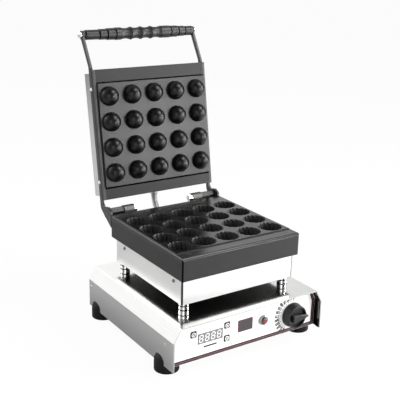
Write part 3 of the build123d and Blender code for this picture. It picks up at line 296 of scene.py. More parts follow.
@dataclass(frozen=True)
class FoldedSheet(StainlessSheet):
    """Stainless sheet folded into a housing, with its inside and its underside painted dark as shade."""

    # Painted shade on the faces that look inwards and below the underside's level.
    inside: str = "#211f1f"
    # Lighter painted stripe along the hem, within the painted shade.
    hem: str = "#62625f"
    hem_span: Optional[Spot] = None
    middle_z: float = 0.05
    inward: float = -4.0 * MM
    underside: float = -1.0
    # Painted shade on the walls below the fold, darkest at the ground.
    wall: str = "#c0c0c0"
    foot: str = "#a4a4a4"
    fold: float = -1.0
    ground: float = 0.0

    def colour(self, tree: Tree, mottle: Source) -> Source:
        """Bright outside; painted shade darkens the walls below the fold towards the ground, the inside and the
        underside, with a lighter painted stripe on the hem.
        """
        layers: list[tuple[Source, Any]] = []
        if self.fold > 0:
            share = tree.add("MapRange", {
                "Value": tree.axes["Z"], "From Min": self.ground, "From Max": self.fold})
            shaded_walls = tree.add("Math", {0: tree.axes["Z"], 1: self.fold}, operation="LESS_THAN")
            layers.append((shaded_walls, tree.tint(share, self.foot, self.wall, 0.0, 0.8)))
        dark: Any = self.inside
        if self.hem_span:
            dark = tree.painted(dark, (tree.within(tree.axes["Y"], *self.hem_span), self.hem))
        below = tree.add("Math", {0: tree.axes["Z"], 1: self.underside}, operation="LESS_THAN")
        layers += [(below, dark), (self.inner(tree), dark)]
        return tree.painted(super().colour(tree, mottle), *layers)

    def inner(self, tree: Tree) -> Node:
        """One on faces that look towards the middle of the section, zero elsewhere."""
        facing = tree.coordinates["Normal"]
        flat = tree.add("VectorMath", {0: facing, 1: (1.0, 0.0, 1.0)}, operation="MULTIPLY")
        around = tree.add("VectorMath", {0: tree.place, 1: (0.0, 0.0, self.middle_z)}, operation="SUBTRACT")
        outward = tree.add("VectorMath", {0: around, 1: flat}, operation="DOT_PRODUCT").outputs["Value"]
        return tree.add("Math", {0: outward, 1: self.inward}, operation="LESS_THAN")


@dataclass(frozen=True)
class PlatedMetal(Metal):
    """Turned and plated steel or machined alloy: tight reflections with faint tool marks."""

    mark_mm: float = 0.8

    def shade(self, tree: Tree) -> Node:
        """Reflection broken by fine noise, as tool marks leave it."""
        marks = tree.add("TexNoise", {
            "Vector": tree.place, "Scale": per_millimetre(self.mark_mm), "Detail": 3.0, "Roughness": 0.6})
        roughness = tree.add("MapRange", {
            **NOISE_RANGE, "Value": marks, "To Min": self.roughness, "To Max": self.roughness + 0.08})
        return tree.bumped(marks, 0.15, 0.03 * MM, Metallic=1.0,
                           Base_Color=self.colour(tree, marks), Roughness=roughness)


@dataclass(frozen=True)
class Satin(Finish):
    """Opaque surface with a soft sheen and a fine grain: coatings, mouldings and rubber."""

    colour: str = "#4a4a4a"
    patch: str = "#444444"
    roughness: float = 0.45
    grain_mm: float = 1.2
    grain_depth: float = 0.06 * MM
    grain: float = 0.3
    patch_mm: float = 45.0
    specular: float = 0.5
    ior: float = 1.5

    def shade(self, tree: Tree) -> Node:
        """Slightly mottled colour under an even, grained surface."""
        patches = tree.add("TexNoise", {
            "Vector": tree.place, "Scale": per_millimetre(self.patch_mm), "Detail": 4.0, "Roughness": 0.55})
        grain = tree.add("TexNoise", {
            "Vector": tree.place, "Scale": per_millimetre(self.grain_mm), "Detail": 4.0, "Roughness": 0.7})
        ground = tree.tint(patches, self.patch, self.colour)
        return tree.bumped(grain, self.grain, self.grain_depth, IOR=self.ior,
                           Specular_IOR_Level=self.specular, Base_Color=self.zoned_colour(tree, ground),
                           Roughness=self.zoned_roughness(tree, grain))

    def zoned_colour(self, tree: Tree, ground: Source) -> Source:
        """Colour of the surface; a finish with several zones says more."""
        return ground

    def zoned_roughness(self, tree: Tree, grain: Source) -> Source:
        """Roughness of the surface, a little uneven."""
        return tree.add("MapRange", {
            **NOISE_RANGE, "Value": grain, "To Min": self.roughness - 0.04, "To Max": self.roughness + 0.06})


@dataclass(frozen=True)
class CoatedMould(Satin):
    """Non-stick coating on cast aluminium: dull on the surround, satin on the field, nearly black in use."""

    colour: str = "#232323"
    patch: str = "#1f1f1f"
    roughness: float = 0.5
    # Fluoropolymer coatings refract little: about 1.35.
    ior: float = 1.35
    grain: float = 0.03
    field: str = "#2b2b2b"
    field_roughness: float = 0.36
    worked: str = "#060606"
    worked_roughness: float = 0.34
    # Painted shade on the faces of the field's step.
    step: str = "#0a0a0a"
    # Direction in which the zones below follow each other, and their limits along it.
    normal: Triple = (0.0, 0.0, -1.0)
    offset: float = 0.0
    blend: float = 0.6 * MM
    field_span: Spot = (0.0, 1.0)
    step_span: Optional[Spot] = None
    step_half: float = 0.116
    edge_roughness: float = 0.2
    edge_span: Optional[Spot] = None
    # Painted shadow lines at the corners or round the field, dark and without gloss.
    gaps: tuple[Band, ...] = ()
    inset_low: Triple = (-1.0, -1.0, -1.0)
    inset_high: Triple = (1.0, 1.0, 1.0)

    def shade(self, tree: Tree) -> Node:
        """The coating, whose painted shadow lines lose the gloss as well."""
        surface = super().shade(tree)
        gloss = tree.add("MapRange", {
            "Value": self.in_gaps(tree), "To Min": self.specular, "To Max": 0.0})
        tree.links.new(gloss.outputs[0], surface.inputs["Specular IOR Level"])
        return surface

    def in_gaps(self, tree: Tree) -> Source:
        """One inside the painted shadow lines at the casting's corners or round its field, zero elsewhere."""
        inside: Any = 0.0
        for gap in self.gaps:
            inside = tree.add("Math", {0: inside, 1: tree.inside(gap)}, operation="MAXIMUM")
        return inside

    def zones(self, tree: Tree) -> tuple[Source, Source]:
        """Factors of the flat field, and of what shapes the dough past the field's plane."""
        depth = tree.along(self.normal)
        worked = tree.add("MapRange", {
            "Value": depth, "From Min": self.offset, "From Max": self.offset + self.blend})
        for axis, low, high in zip(tree.axes, self.inset_low, self.inset_high):
            gate = tree.within(axis, low, high)
            worked = tree.add("Math", {0: worked, 1: gate}, operation="MULTIPLY")
        return tree.within(depth, *self.field_span), worked

    def zoned_colour(self, tree: Tree, ground: Source) -> Source:
        """Grey surround, field, painted shade at the field's step, nearly black where the mould works, and painted
        shadow lines.
        """
        field, worked = self.zones(tree)
        layers: list[tuple[Source, Any]] = [(field, self.field), (worked, self.worked)]
        layers += [(tree.inside(gap), gap.colour) for gap in self.gaps]
        if self.step_span:
            deep = tree.within(tree.along(self.normal), *self.step_span)
            wide = tree.within(tree.axes["X"], -self.step_half, self.step_half)
            at_step = tree.add("Math", {0: deep, 1: wide}, operation="MULTIPLY")
            layers.insert(1, (at_step, self.step))
        return tree.painted(ground, *layers)

    def zoned_roughness(self, tree: Tree, grain: Source) -> Source:
        """Smoother at the upper edge, on the field and where the mould works."""
        if self.edge_span:
            roughness: Source = tree.add("MapRange", {
                "Value": tree.along(self.normal), "From Min": self.edge_span[0],
                "From Max": self.edge_span[1], "To Min": self.edge_roughness, "To Max": self.roughness})
        else:
            roughness = super().zoned_roughness(tree, grain)
        for factor, value in zip(self.zones(tree), (self.field_roughness, self.worked_roughness)):
            roughness = tree.add("Mix", {0: factor, 2: roughness, 3: value}, data_type="FLOAT")
        return roughness


@dataclass(frozen=True)
class RedLens(Finish):
    """Injection-moulded translucent red lamp lens: deep colour that lights up towards its middle."""

    rim: str = "#430e10"
    middle: str = "#741b1c"
    axis: Triple = (0.0, 0.0, 0.0)
    radius: float = 6.0 * MM
    ring_phase: float = 40.0

    def shade(self, tree: Tree) -> Node:
        """Colour by distance from the lamp's axis, with moulded rings."""
        offset = tree.add("VectorMath", {0: tree.place, 1: self.axis}, operation="SUBTRACT")
        flat = tree.add("VectorMath", {0: offset, 1: (1.0, 0.0, 1.0)}, operation="MULTIPLY")
        reach = tree.add("VectorMath", {0: flat}, operation="LENGTH").outputs["Value"]
        share = tree.add("Math", {0: reach, 1: self.radius}, operation="DIVIDE")
        phase = tree.add("Math", {0: share, 1: self.ring_phase}, operation="MULTIPLY")
        rings = tree.add("Math", {0: phase}, operation="SINE")
        return tree.bumped(rings, 0.3, 0.2 * MM, Roughness=0.15, Coat_Weight=0.6,
                           Base_Color=tree.tint(share, self.middle, self.rim, 0.2, 0.9))


@dataclass(frozen=True)
class BraidedSleeve(Finish):
    """Woven steel sleeve over the lid's lead: two sets of strands that cross as they wind round."""

    light: str = "#b9b9b8"
    dark: str = "#4c4c4c"
    strands: float = 16.0
    pitch_mm: float = 14.0
    length_mm: float = 117.0

    def shade(self, tree: Tree) -> Node:
        """Crossing bands on the tube's own coordinates: u runs round and v runs along."""
        axes = tree.add("SeparateXYZ", {"Vector": tree.add("UVMap", uv_map="along")}).outputs
        waves = []
        for way in (-1.0, 1.0):
            turns = way * self.length_mm / self.pitch_mm
            along = tree.add("Math", {0: axes["Y"], 1: turns}, operation="MULTIPLY")
            wound = tree.add("Math", {0: axes["X"], 1: along}, operation="ADD")
            phase = tree.add("Math", {0: wound, 1: 2 * math.pi * self.strands}, operation="MULTIPLY")
            waves.append(tree.add("Math", {0: phase}, operation="SINE"))
        crossed = tree.add("Math", {0: waves[0], 1: waves[1]}, operation="MAXIMUM")
        return tree.bumped(crossed, 0.5, 0.2 * MM, Metallic=0.8, Roughness=0.32,
                           Base_Color=tree.tint(crossed, self.dark, self.light, 0.0, 0.7))


@dataclass(frozen=True)
class PaleFloor(Finish):
    """Matt floor that the camera sees as nearly white, so that it keeps only the machine's shadow."""

    tone: str = "#dadada"
    glow: float = 0.95

    def shade(self, tree: Tree) -> Node:
        """Plain matt paint, with white light added where the camera looks."""
        matt = tree.add("BsdfDiffuse", {"Color": self.tone})
        white = tree.add("Emission", {"Color": "#ffffff", "Strength": 1.0})
        seen = tree.add("LightPath").outputs["Is Camera Ray"]
        share = tree.add("Math", {0: seen, 1: self.glow}, operation="MULTIPLY")
        return tree.add("MixShader", {0: share, 1: matt, 2: white})


@dataclass(frozen=True)
class Palette:
    """Every finish of the machine, by the material slots of its solids."""

    lid_normal: Triple
    lid_offset: float

    def by_slot(self) -> dict[str, Finish]:
        """Finish of each material slot.

        Returns:
            Finishes by slot name.
        """
        low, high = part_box("lower_mould")
        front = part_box("base_shell")[0].y
        # The lower mould's zones go down from its top.
        top = -high.z
        return {
            # Cold-rolled, polished stainless: the sheet of the base, whose lines run front to back.
            # Its walls below the fold and its inside are painted shade, with a lighter painted stripe on the hem.
            "stainless_sheet": FoldedSheet(
                "polished_stainless_base", roughness=0.14, line_strength=0.004, inside="#161515",
                fold=0.0702, ground=0.017, hem_span=(front + 2.6 * MM, front + 5.2 * MM)),
            # Mill-finish sheet of hidden panels: greyer and duller.
            "plain_sheet": StainlessSheet("mill_finish_steel", "#9d9e9f", "#8b8c8e", 0.36, grain=Grain.LEVEL),
            # Stove-enamelled arms and frame of the lid: the same grey as the mould, smoother.
            "coated_steel": Satin("enamelled_steel", "#242424", "#202020", 0.42, 0.9, grain=0.05),
            # Machined cast alloy of the hinge, dulled, with tool marks.
            "cast_bracket": PlatedMetal("machined_alloy", "#6c6c6b", "#555554", 0.5),
            # Bright chrome plate on turned steel.
            "chrome_plate": PlatedMetal("bright_chrome", "#e6e6e6", "#d6d6d6", 0.06),
            # Zinc-plated fasteners: pale grey, slightly dull.
            "zinc_fastener": PlatedMetal("zinc_plate", "#c9cac8", "#a8a9a7", 0.26),
            # Blackened steel screws.
            "dark_fastener": Satin("blackened_steel", "#141414", "#101010", 0.35),
            # Moulded nitrile rubber: dull black with a trace of dust.
            "foot_rubber": Satin("moulded_rubber", "#080808", "#060606", 0.6, 0.7, grain=0.2,
                                 specular=0.2),
            # Compression-moulded phenolic: black with a soft gloss.
            "black_moulding": Satin("moulded_phenolic", "#0d0d0e", "#0a0a0b", 0.44, 0.8, grain=0.01),
            # Moulded ABS key caps.
            "key_plastic": Satin("moulded_abs_key", "#121214", "#0f0f11", 0.4),
            # Screen-printed polyester film: clean white with the faintest mottling.
            "overlay_film": Satin("printed_polyester_film", "#f6f6f6", "#f2f2f2", 0.3, grain=0.04),
            # Anodised aluminium badge, dark and fine-grained.
            "badge_metal": Satin("anodised_badge", "#3a3839", "#353334", 0.32, 0.6, grain=0.1),
            # Acrylic window of the timer, mid grey.
            "display_lens": Satin("acrylic_window", "#7e7e7e", "#787878", 0.14, grain=0.02),
            # Lamp lens, injection-moulded in red acrylic.
            "lamp_red": RedLens("moulded_red_lens", axis=tuple(centre_of("lamp_lens"))),
            # Glass-fibre board with green solder mask.
            "board": Satin("solder_mask_board", "#1f5a34", "#174a2a", 0.35, patch_mm=6.0),
            # Mineral wool board: pale fibres.
            "wool": Satin("mineral_wool", "#bcb392", "#a39a7b", 0.95, 2.0, 0.6 * MM, 0.9, 8.0, 0.1),
            # Incoloy sheath, heat-tinted.
            "element_steel": PlatedMetal("oxidised_sheath", "#6b645c", "#4a4540", 0.42),
            # Woven sleeve of the lid's lead.
            "braid": BraidedSleeve("braided_sleeve"),
            # Extruded silicone rubber.
            "silicone": Satin("extruded_silicone", "#1b1b1b", "#171717", 0.5),
            # Pressed steatite of the terminal block.
            "ceramic": Satin("pressed_steatite", "#ded9cc", "#d3cdbe", 0.4),
            # Non-stick coating over cast aluminium, glossier on the skirt's upper edge and on the rims, with
            # painted shadow lines down its front corners.
            "coated_casting": CoatedMould(
                "nonstick_lower_mould", offset=top + 1.0 * MM, field="#0c0c0c", field_roughness=0.22,
                field_span=(top - 0.5 * MM, top + 0.6 * MM), worked_roughness=0.5,
                edge_span=(top + 1.0 * MM, top + 12.0 * MM),
                gaps=front_corners("lower_mould", 1.6 * MM, "#0a0a0a"),
                inset_low=(-0.1175, low.y + 24 * MM, -1.0), inset_high=(0.1175, high.y - 4 * MM, 2.0)),
        }

    def by_node(self) -> dict[str, Finish]:
        """Finishes of single nodes that differ from their slot's.

        Returns:
            Finishes by node name.
        """
        low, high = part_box("lower_housing")
        rise = up_the_lid(self.lid_normal)
        hinge = centre_of("hinge_pins").dot(Vector(rise))
        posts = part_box("posts")
        return {
            # The housing's underside and inner faces are painted dark as shade; dark lines run down its front
            # corners.
            "lower_housing": FoldedSheet(
                "polished_stainless_housing", "#dfdfde", "#d5d5d4", 0.42, grain=Grain.LEVEL, inside="#161616",
                bands=front_corners("lower_housing", 1.9 * MM, "#3c3c3b"), middle_z=(low.z + high.z) / 2,
                underside=low.z + 0.9 * MM),
            # Polished covers and panels.
            "lid_cover": StainlessSheet("polished_stainless_cover", "#c4c4c3", "#bcbcbb", grain=Grain.LEVEL),
            "front_panel": StainlessSheet("polished_stainless_panel", grain=Grain.ALONG_X),
            # Non-stick coating of the lid's mould; its field lies between two painted shadow lines, and painted
            # shade darkens its step.
            "lid_mould": CoatedMould(
                "nonstick_lid_mould", normal=self.lid_normal, offset=self.lid_offset,
                field_span=(self.lid_offset - 0.9 * MM, 1.0),
                step_span=(self.lid_offset - 4.3 * MM, self.lid_offset - 0.9 * MM),
                gaps=(Band(rise, hinge + 43.3 * MM, hinge + 46.6 * MM, "#0a0a0a"),
                      Band(rise, hinge + 241.1 * MM, hinge + 243.0 * MM, "#0a0a0a"))),
            # Chromed posts, turned from bar; painted shade darkens their grooves.
            "posts": PlatedMetal("chromed_post", "#e6e6e6", "#d6d6d6", 0.08, bands=(
                Band((0.0, 0.0, 1.0), posts[0].z + 3.8 * MM, posts[0].z + 6.0 * MM, "#2c2c2c"),
                Band((0.0, 0.0, 1.0), posts[1].z - 6.0 * MM, posts[1].z - 3.8 * MM, "#2c2c2c"))),
            # Chromed bezel of the lamp, dulled by handling.
            "lamp_bezel": PlatedMetal("chromed_bezel", "#a8a8a8", "#7e7e7e", 0.25),
            # Nickel-plated screws of the housing's sides.
            "housing_screws": PlatedMetal("nickel_plate", "#8c8c8a", "#4c4c4b", 0.3),
            # Hot-dip galvanised bars: patchy grey.
            "hinge_spacers": PlatedMetal("galvanised_bar", "#585857", "#383837", 0.5, mark_mm=3.0),
            # Zinc-flake coated screw heads: pale and dull.
            "arm_screws": Satin("zinc_flake_screw", "#e8e8e8", "#dcdcdc", 0.35),
        }


# Mesh tools


def put(name: str, data: bpy.types.ID) -> bpy.types.Object:
    """Put an object with this data into the scene."""
    made = bpy.data.objects.new(name, data)
    bpy.context.scene.collection.objects.link(made)
    return made


def new_piece(name: str, mesh: Mesh, finish: Finish, body: str) -> bpy.types.Object:
    """Put a mesh into the scene as a piece that rides on a body.

    Args:
        name: Name of the piece.
        mesh: Its mesh, in metres, in the frame.
        finish: What it is made of.
        body: CAD body that carries it, or nothing for a piece that rides on none.

    Returns:
        The new object.
    """
    piece = put(name, mesh)
    mesh.materials.append(finish.material())
    log.info("%s: %d faces on %s", name, len(mesh.polygons), body)
    if body:
        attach(piece, body)
    return piece


def mesh_of(name: str, work: Work, closed: bool = True) -> Mesh:
    """Turn a working mesh into a mesh, with the faces of closed shapes turned outwards."""
    if closed:
        bmesh.ops.recalc_face_normals(work, faces=work.faces)
    mesh = bpy.data.meshes.new(name)
    work.to_mesh(mesh)
    work.free()
    return mesh


def mesh_of_curve(curve: bpy.types.Curve) -> Mesh:
    """Mesh of a curve or a text, which is used up."""
    holder = put(curve.name, curve)
    bpy.context.view_layer.update()
    mesh = bpy.data.meshes.new_from_object(holder.evaluated_get(bpy.context.evaluated_depsgraph_get()))
    bpy.data.objects.remove(holder)
    bpy.data.curves.remove(curve)
    return mesh


def add_ring(work: Work, centre: Vector, across: Vector, up: Vector, radius: float, sides: int) -> Ring:
    """Add a ring of vertices that starts at one direction and turns towards another."""
    angles = [2 * math.pi * k / sides for k in range(sides)]
    return [work.verts.new(centre + (across * math.cos(a) + up * math.sin(a)) * radius) for a in angles]


def join_rings(work: Work, low: Ring, high: Ring) -> list[bmesh.types.BMFace]:
    """Join two rings by smooth faces, in order round the ring."""
    faces = []
    for k in range(len(low)):
        n = (k + 1) % len(low)
        faces.append(work.faces.new((low[k], low[n], high[n], high[k])))
        faces[-1].smooth = True
    return faces


def print_on(
    name: str, outlines: Outlines, face_y: float, thick: float, finish: Finish, body: str = "base"
) -> None:
    """Print thin shapes on an upright face, as one piece of closed prisms.

    Args:
        name: Name of the piece.
        outlines: Closed outlines in (x, z).
        face_y: Depth of the face that they lie on.
        thick: Thickness of the print.
        finish: The ink.
        body: CAD body that carries the print.
    """
    work = bmesh.new()
    for outline in outlines:
        front = [work.verts.new((x, face_y - thick, z)) for x, z in outline]
        back = [work.verts.new((x, face_y - 0.1 * thick, z)) for x, z in outline]
        work.faces.new(front)
        work.faces.new(list(reversed(back)))
        for i in range(len(outline)):
            j = (i + 1) % len(outline)
            work.faces.new((front[j], front[i], back[i], back[j]))
    new_piece(name, mesh_of(name, work), finish, body)


def polar(centre: Spot, radius: float, degrees: float) -> Spot:
    """A point round a centre in (x, z); the angle runs from +x towards +z."""
    a = math.radians(degrees)
    return (centre[0] + radius * math.cos(a), centre[1] + radius * math.sin(a))


def strip_between(first: Sequence[Spot], second: Sequence[Spot]) -> Outlines:
    """Quadrilaterals between two lines of as many points."""
    return [[*first[i:i + 2], second[i + 1], second[i]] for i in range(len(first) - 1)]


def bar_outline(x: float, z: float, width: float, height: float) -> list[Spot]:
    """A rectangle round a middle."""
    w, h = width / 2, height / 2
    return [(x - w, z - h), (x + w, z - h), (x + w, z + h), (x - w, z + h)]


def turned_bar(centre: Spot, radius: float, degrees: float, length: float, width: float) -> list[Spot]:
    """A short bar that points away from a centre, such as a tick of a dial."""
    low, high = (Vector(polar(centre, reach, degrees)) for reach in (radius, radius + length))
    side = Vector(polar((0.0, 0.0), width / 2, degrees + 90))
    return [tuple(p) for p in (low - side, high - side, high + side, low + side)]


# Details of the lid and of the control panel


@dataclass
class DomeCoat:
    """The coat over the lid's twenty domes, built up smooth where the casting is turned in steps."""

    # A little over the casting's 18 mm, so that the corners of its steps stay under the coat's flat sides.
    radius: float = 18.2 * MM
    columns: int = 5
    rows: int = 4
    pitch_x: float = 48.0 * MM
    pitch_y: float = 47.8 * MM
    hinge_to_middle: float = 144.6 * MM
    root: float = 0.4 * MM
    sides: int = 32
    rings: int = 9

    def build(self, normal: Triple, face: float, finish: Finish) -> None:
        """Lay one coat over every dome.

        Args:
            normal: Direction that the domes point in.
            face: Distance of the field's plane along that direction.
            finish: The non-stick coating.
        """
        hinge = centre_of("hinge_pins")
        out, rise, across = Vector(normal), Vector(up_the_lid(normal)), Vector((1.0, 0.0, 0.0))
        start = Vector((0.0, hinge.y, hinge.z))
        start += out * (face - self.root - start.dot(out))
        domes = bmesh.new()
        for column in range(self.columns):
            for row in range(self.rows):
                x = (column - (self.columns - 1) / 2) * self.pitch_x
                y = (row - (self.rows - 1) / 2) * self.pitch_y + self.hinge_to_middle
                self.dome(domes, start + across * x + rise * y, across, rise, out)
        new_piece("dome_coat", mesh_of("dome_coat", domes), finish, "lid")

    def dome(self, work: Work, foot: Vector, across: Vector, rise: Vector, out: Vector) -> None:
        """Add half a ball with a short straight root.

        Args:
            work: Mesh being built.
            foot: Middle of the root's foot.
            across: Direction across the lid.
            rise: Direction up the lid.
            out: Direction that the dome points in.
        """
        angles = [0.5 * math.pi * i / self.rings for i in range(self.rings)]
        steps = [(self.radius, 0.0)]
        steps += [(self.radius * math.cos(a), self.root + self.radius * math.sin(a)) for a in angles]
        rings = [add_ring(work, foot + out * height, across, rise, radius, self.sides)
                 for radius, height in steps]
        for low, high in zip(rings, rings[1:]):
            join_rings(work, low, high)
        tip = work.verts.new(foot + out * (self.root + self.radius))
        last = rings[-1]
        for k, vertex in enumerate(last):
            work.faces.new((vertex, last[(k + 1) % self.sides], tip)).smooth = True
        work.faces.new(list(reversed(rings[0])))


@dataclass
class PrintedBorder:
    """Dark red band with a pale middle line along the lower edge and the ends of the panel film."""

    inset: float = 0.25 * MM
    band: float = 7.2 * MM
    line_start: float = 3.2 * MM
    line: float = 0.65 * MM
    fold_height: float = 51.7 * MM
    shoulder_run: float = 13.5 * MM
    top_gap: float = 2.0 * MM
    thick: float = 0.05 * MM
    red: Finish = Satin("dark_red_print", "#2e0a12", "#28080f", 0.4, grain=0.05)
    pale: Finish = Satin("pale_red_print", "#936f74", "#8b686d", 0.4, grain=0.05)

    def build(self) -> None:
        """Draw the band, then the pale line on it."""
        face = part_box("panel_overlay")[0].y
        start = self.inset + self.line_start
        band = self.strip(self.inset, self.inset + self.band)
        line = self.strip(start, start + self.line)
        print_on("border_band", band, face, self.thick, self.red)
        print_on("border_line", line, face - self.thick, self.thick, self.pale)

    def strip(self, outer: float, inner: float) -> Outlines:
        """Outlines between two insets from the film's ends and lower edge."""
        quads = strip_between(self.path(outer), self.path(inner))
        return quads + [[(-x, z) for x, z in reversed(quad)] for quad in quads]

    def path(self, inset: float) -> list[Spot]:
        """Inset line from the middle of the lower edge to the right end and up its shoulder."""
        low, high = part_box("panel_overlay")
        fold = low.z + self.fold_height
        end = high.z - self.top_gap
        slope = self.shoulder_run / (high.z - fold)
        # Near enough the line parallel to the shoulder, whose own ends are rounded.
        shift = 1.05 * inset * (math.hypot(1.0, slope) - slope)
        return [
            (0.0, low.z + inset),
            (high.x - inset, low.z + inset),
            (high.x - inset, fold - 0.25 * inset),
            (high.x - shift - (end - fold) * slope, end),
        ]


@dataclass
class TimerDisplay:
    """Four seven-segment figures behind the grey window, and the printed bar under it."""

    figures: int = 4
    slant: float = 0.08
    height: float = 14.6 * MM
    width: float = 8.6 * MM
    stroke: float = 1.9 * MM
    gap: float = 0.25 * MM
    pitch: float = 12.2 * MM
    edge: float = 0.9 * MM
    bar_drop: float = 6.8 * MM
    bar_width: float = 27.0 * MM
    bar_height: float = 3.2 * MM
    thick: float = 0.04 * MM
    pale: Finish = Satin("pale_segments", "#e4e4e2", "#dcdcda", 0.35, grain=0.02)
    rim: Finish = Satin("window_rim_print", "#4a4a4a", "#444444", 0.35, grain=0.02)
    ink: Finish = Satin("black_print", "#161618", "#121214", 0.45, grain=0.03)

    def build(self) -> None:
        """Draw the figures, the window's rim and the bar."""
        low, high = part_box("display_window")
        middle = (low + high) / 2
        segments: Outlines = []
        for index in range(self.figures):
            segments += self.figure(middle.x + (index - (self.figures - 1) / 2) * self.pitch, middle.z)
        half, upright = self.edge / 2, high.z - low.z - 2 * self.edge
        rims = [bar_outline(middle.x, z, high.x - low.x, self.edge) for z in (low.z + half, high.z - half)]
        rims += [bar_outline(x, middle.z, self.edge, upright) for x in (low.x + half, high.x - half)]
        bar = [bar_outline(middle.x, low.z - self.bar_drop, self.bar_width, self.bar_height)]
        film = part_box("panel_overlay")[0].y
        print_on("timer_figures", segments, low.y, self.thick, self.pale)
        print_on("window_rim", rims, low.y, self.thick, self.rim)
        print_on("timer_bar", bar, film, self.thick, self.ink)

    def figure(self, x: float, z: float) -> Outlines:
        """Seven segments of one figure, each with pointed ends.

        Args:
            x: Middle of the figure across.
            z: Middle of the figure upwards.

        Returns:
            Outlines for print_on.
        """
        w, h, s, gap = self.width / 2, self.height / 2, self.stroke / 2, self.gap
        span, tip = h - s, gap + 0.2 * s
        level = [(-w + s + gap, 0), (-w + 2 * s + gap, -s), (w - 2 * s - gap, -s), (w - s - gap, 0),
                 (w - 2 * s - gap, s), (-w + 2 * s + gap, s)]
        upright = [(0, tip), (s, s + gap), (s, span - s - gap), (0, span - tip), (-s, span - s - gap),
                   (-s, s + gap)]
        shapes = [[(px, pz + dz) for px, pz in level] for dz in (-span, 0.0, span)]
        for dx in (-w + s, w - s):
            for dz in (-span, 0.0):
                shapes.append([(px + dx, pz + dz) for px, pz in upright])
        return [[(x + px + self.slant * pz, z + pz) for px, pz in shape] for shape in shapes]


@dataclass
class KeySymbols:
    """White ring with a mark inside on each of the three keys."""

    ring_outer: float = 4.1 * MM
    ring_inner: float = 3.0 * MM
    ring_steps: int = 40
    bar_angle: float = 50.0
    bar_length: float = 3.6 * MM
    bar_width: float = 1.3 * MM
    arrow_reach: float = 1.7 * MM
    arrow_foot: float = 1.1 * MM
    thick: float = 0.05 * MM
    white: Finish = Satin("white_key_print", "#fafafa", "#f4f4f4", 0.4, grain=0.03)

    def build(self) -> None:
        """Draw one ring and one mark on each key."""
        for key in ("key_left", "key_upper", "key_lower"):
            centre = centre_of(key)
            middle = (centre.x, centre.z)
            rings = [
                [polar(middle, radius, 360 * i / self.ring_steps) for i in range(self.ring_steps + 1)]
                for radius in (self.ring_inner, self.ring_outer)
            ]
            outlines = [*strip_between(*rings), self.mark(key, middle)]
            print_on(key + "_symbol", outlines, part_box(key)[0].y, self.thick, self.white, key)

    def mark(self, key: str, middle: Spot) -> list[Spot]:
        """The mark inside the ring: a slanted bar to set, and arrowheads for more and less."""
        x, z = middle
        if key == "key_left":
            return turned_bar(middle, -self.bar_length / 2, self.bar_angle, self.bar_length, self.bar_width)
        way = 1.0 if key == "key_upper" else -1.0
        foot = z - way * self.arrow_foot
        arrow = [(x - self.arrow_reach, foot), (x + self.arrow_reach, foot), (x, z + way * self.arrow_reach)]
        return arrow if way > 0 else arrow[::-1]


@dataclass
class BadgeRim:
    """Dark red rim on the blank badge plate."""

    inset: float = 0.5 * MM
    rim: float = 1.5 * MM
    corner: float = 1.5 * MM
    corner_steps: int = 5
    thick: float = 0.08 * MM
    red: Finish = Satin("dark_red_enamel", "#6b3440", "#5f2d38", 0.3, grain=0.05)

    def build(self) -> None:
        """Lay the rim along the plate's edge."""
        outlines = strip_between(self.rounded(self.inset + self.rim), self.rounded(self.inset))
        print_on("badge_rim", outlines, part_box("badge_plate")[0].y, self.thick, self.red)

    def rounded(self, inset: float) -> list[Spot]:
        """A rounded rectangle that far inside the plate's edge, back to its first point."""
        low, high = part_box("badge_plate")
        shift = inset + self.corner
        left, right, bottom, top = low.x + shift, high.x - shift, low.z + shift, high.z - shift
        centres = ((right, top), (left, top), (left, bottom), (right, bottom))
        points = [
            polar(centre, self.corner, 90 * (quarter + i / self.corner_steps))
            for quarter, centre in enumerate(centres)
            for i in range(self.corner_steps + 1)
        ]
        return points + points[:1]


@dataclass
class DialScale:
    """Printed temperature scale round the knob: ticks and plain numbers."""

    tick_radius: float = 25.4 * MM
    tick: float = 2.4 * MM
    tick_width: float = 1.2 * MM
    first: float = 84.0
    last: float = -122.0
    numbers: tuple[int, ...] = tuple(range(0, 325, 25))
    # The font's size is more than the height of its figures.
    font_size: float = 5.2 * 1.35 * MM
    boldness: float = 0.5 * MM
    number_gap: float = 0.8 * MM
    thick: float = 0.05 * MM
    ink: Finish = Satin("black_dial_print", "#0e0e10", "#0b0b0d", 0.45, grain=0.03)

    def build(self) -> None:
        """Print ticks and numbers counter-clockwise from the top, round the left, to the lower left."""
        centre = centre_of("thermostat_shaft")
        middle = (centre.x, centre.z)
        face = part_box("panel_overlay")[0].y
        sweep = (360.0 + self.last - self.first) / (len(self.numbers) - 1)
        angles = [self.first + sweep * i for i in range(len(self.numbers))]
        ticks = [turned_bar(middle, self.tick_radius, a, self.tick, self.tick_width) for a in angles]
        print_on("dial_ticks", ticks, face, self.thick, self.ink)
        work = bmesh.new()
        for number, angle in zip(self.numbers, angles):
            mesh = self.figure(str(number), middle, face, angle)
            work.from_mesh(mesh)
            bpy.data.meshes.remove(mesh)
        bmesh.ops.remove_doubles(work, verts=work.verts, dist=1e-7)
        new_piece("dial_numbers", mesh_of("dial_numbers", work, False), self.ink, "base")

    def figure(self, text: str, middle: Spot, face: float, degrees: float) -> Mesh:
        """One number as a thin mesh, set radially as such scales are printed.

        Args:
            text: The number.
            middle: Centre of the dial in (x, z).
            face: Depth of the film's front.
            degrees: Direction from the centre.

        Returns:
            The number's mesh, in place.
        """
        curve = bpy.data.curves.new("figure", "FONT")
        curve.body = text
        curve.size = self.font_size
        curve.offset = self.boldness
        curve.align_x, curve.align_y = "LEFT", "CENTER"
        curve.extrude = self.thick / 2
        curve.resolution_u = 3
        mesh = mesh_of_curve(curve)
        upright = Matrix.Rotation(math.radians(90), 4, "X")
        turn = Matrix.Rotation(-math.radians(degrees), 4, "Y")
        x, z = polar(middle, self.tick_radius + self.tick + self.number_gap, degrees)
        mesh.transform(Matrix.Translation((x, face - self.thick * 0.6, z)) @ turn @ upright)
        return mesh


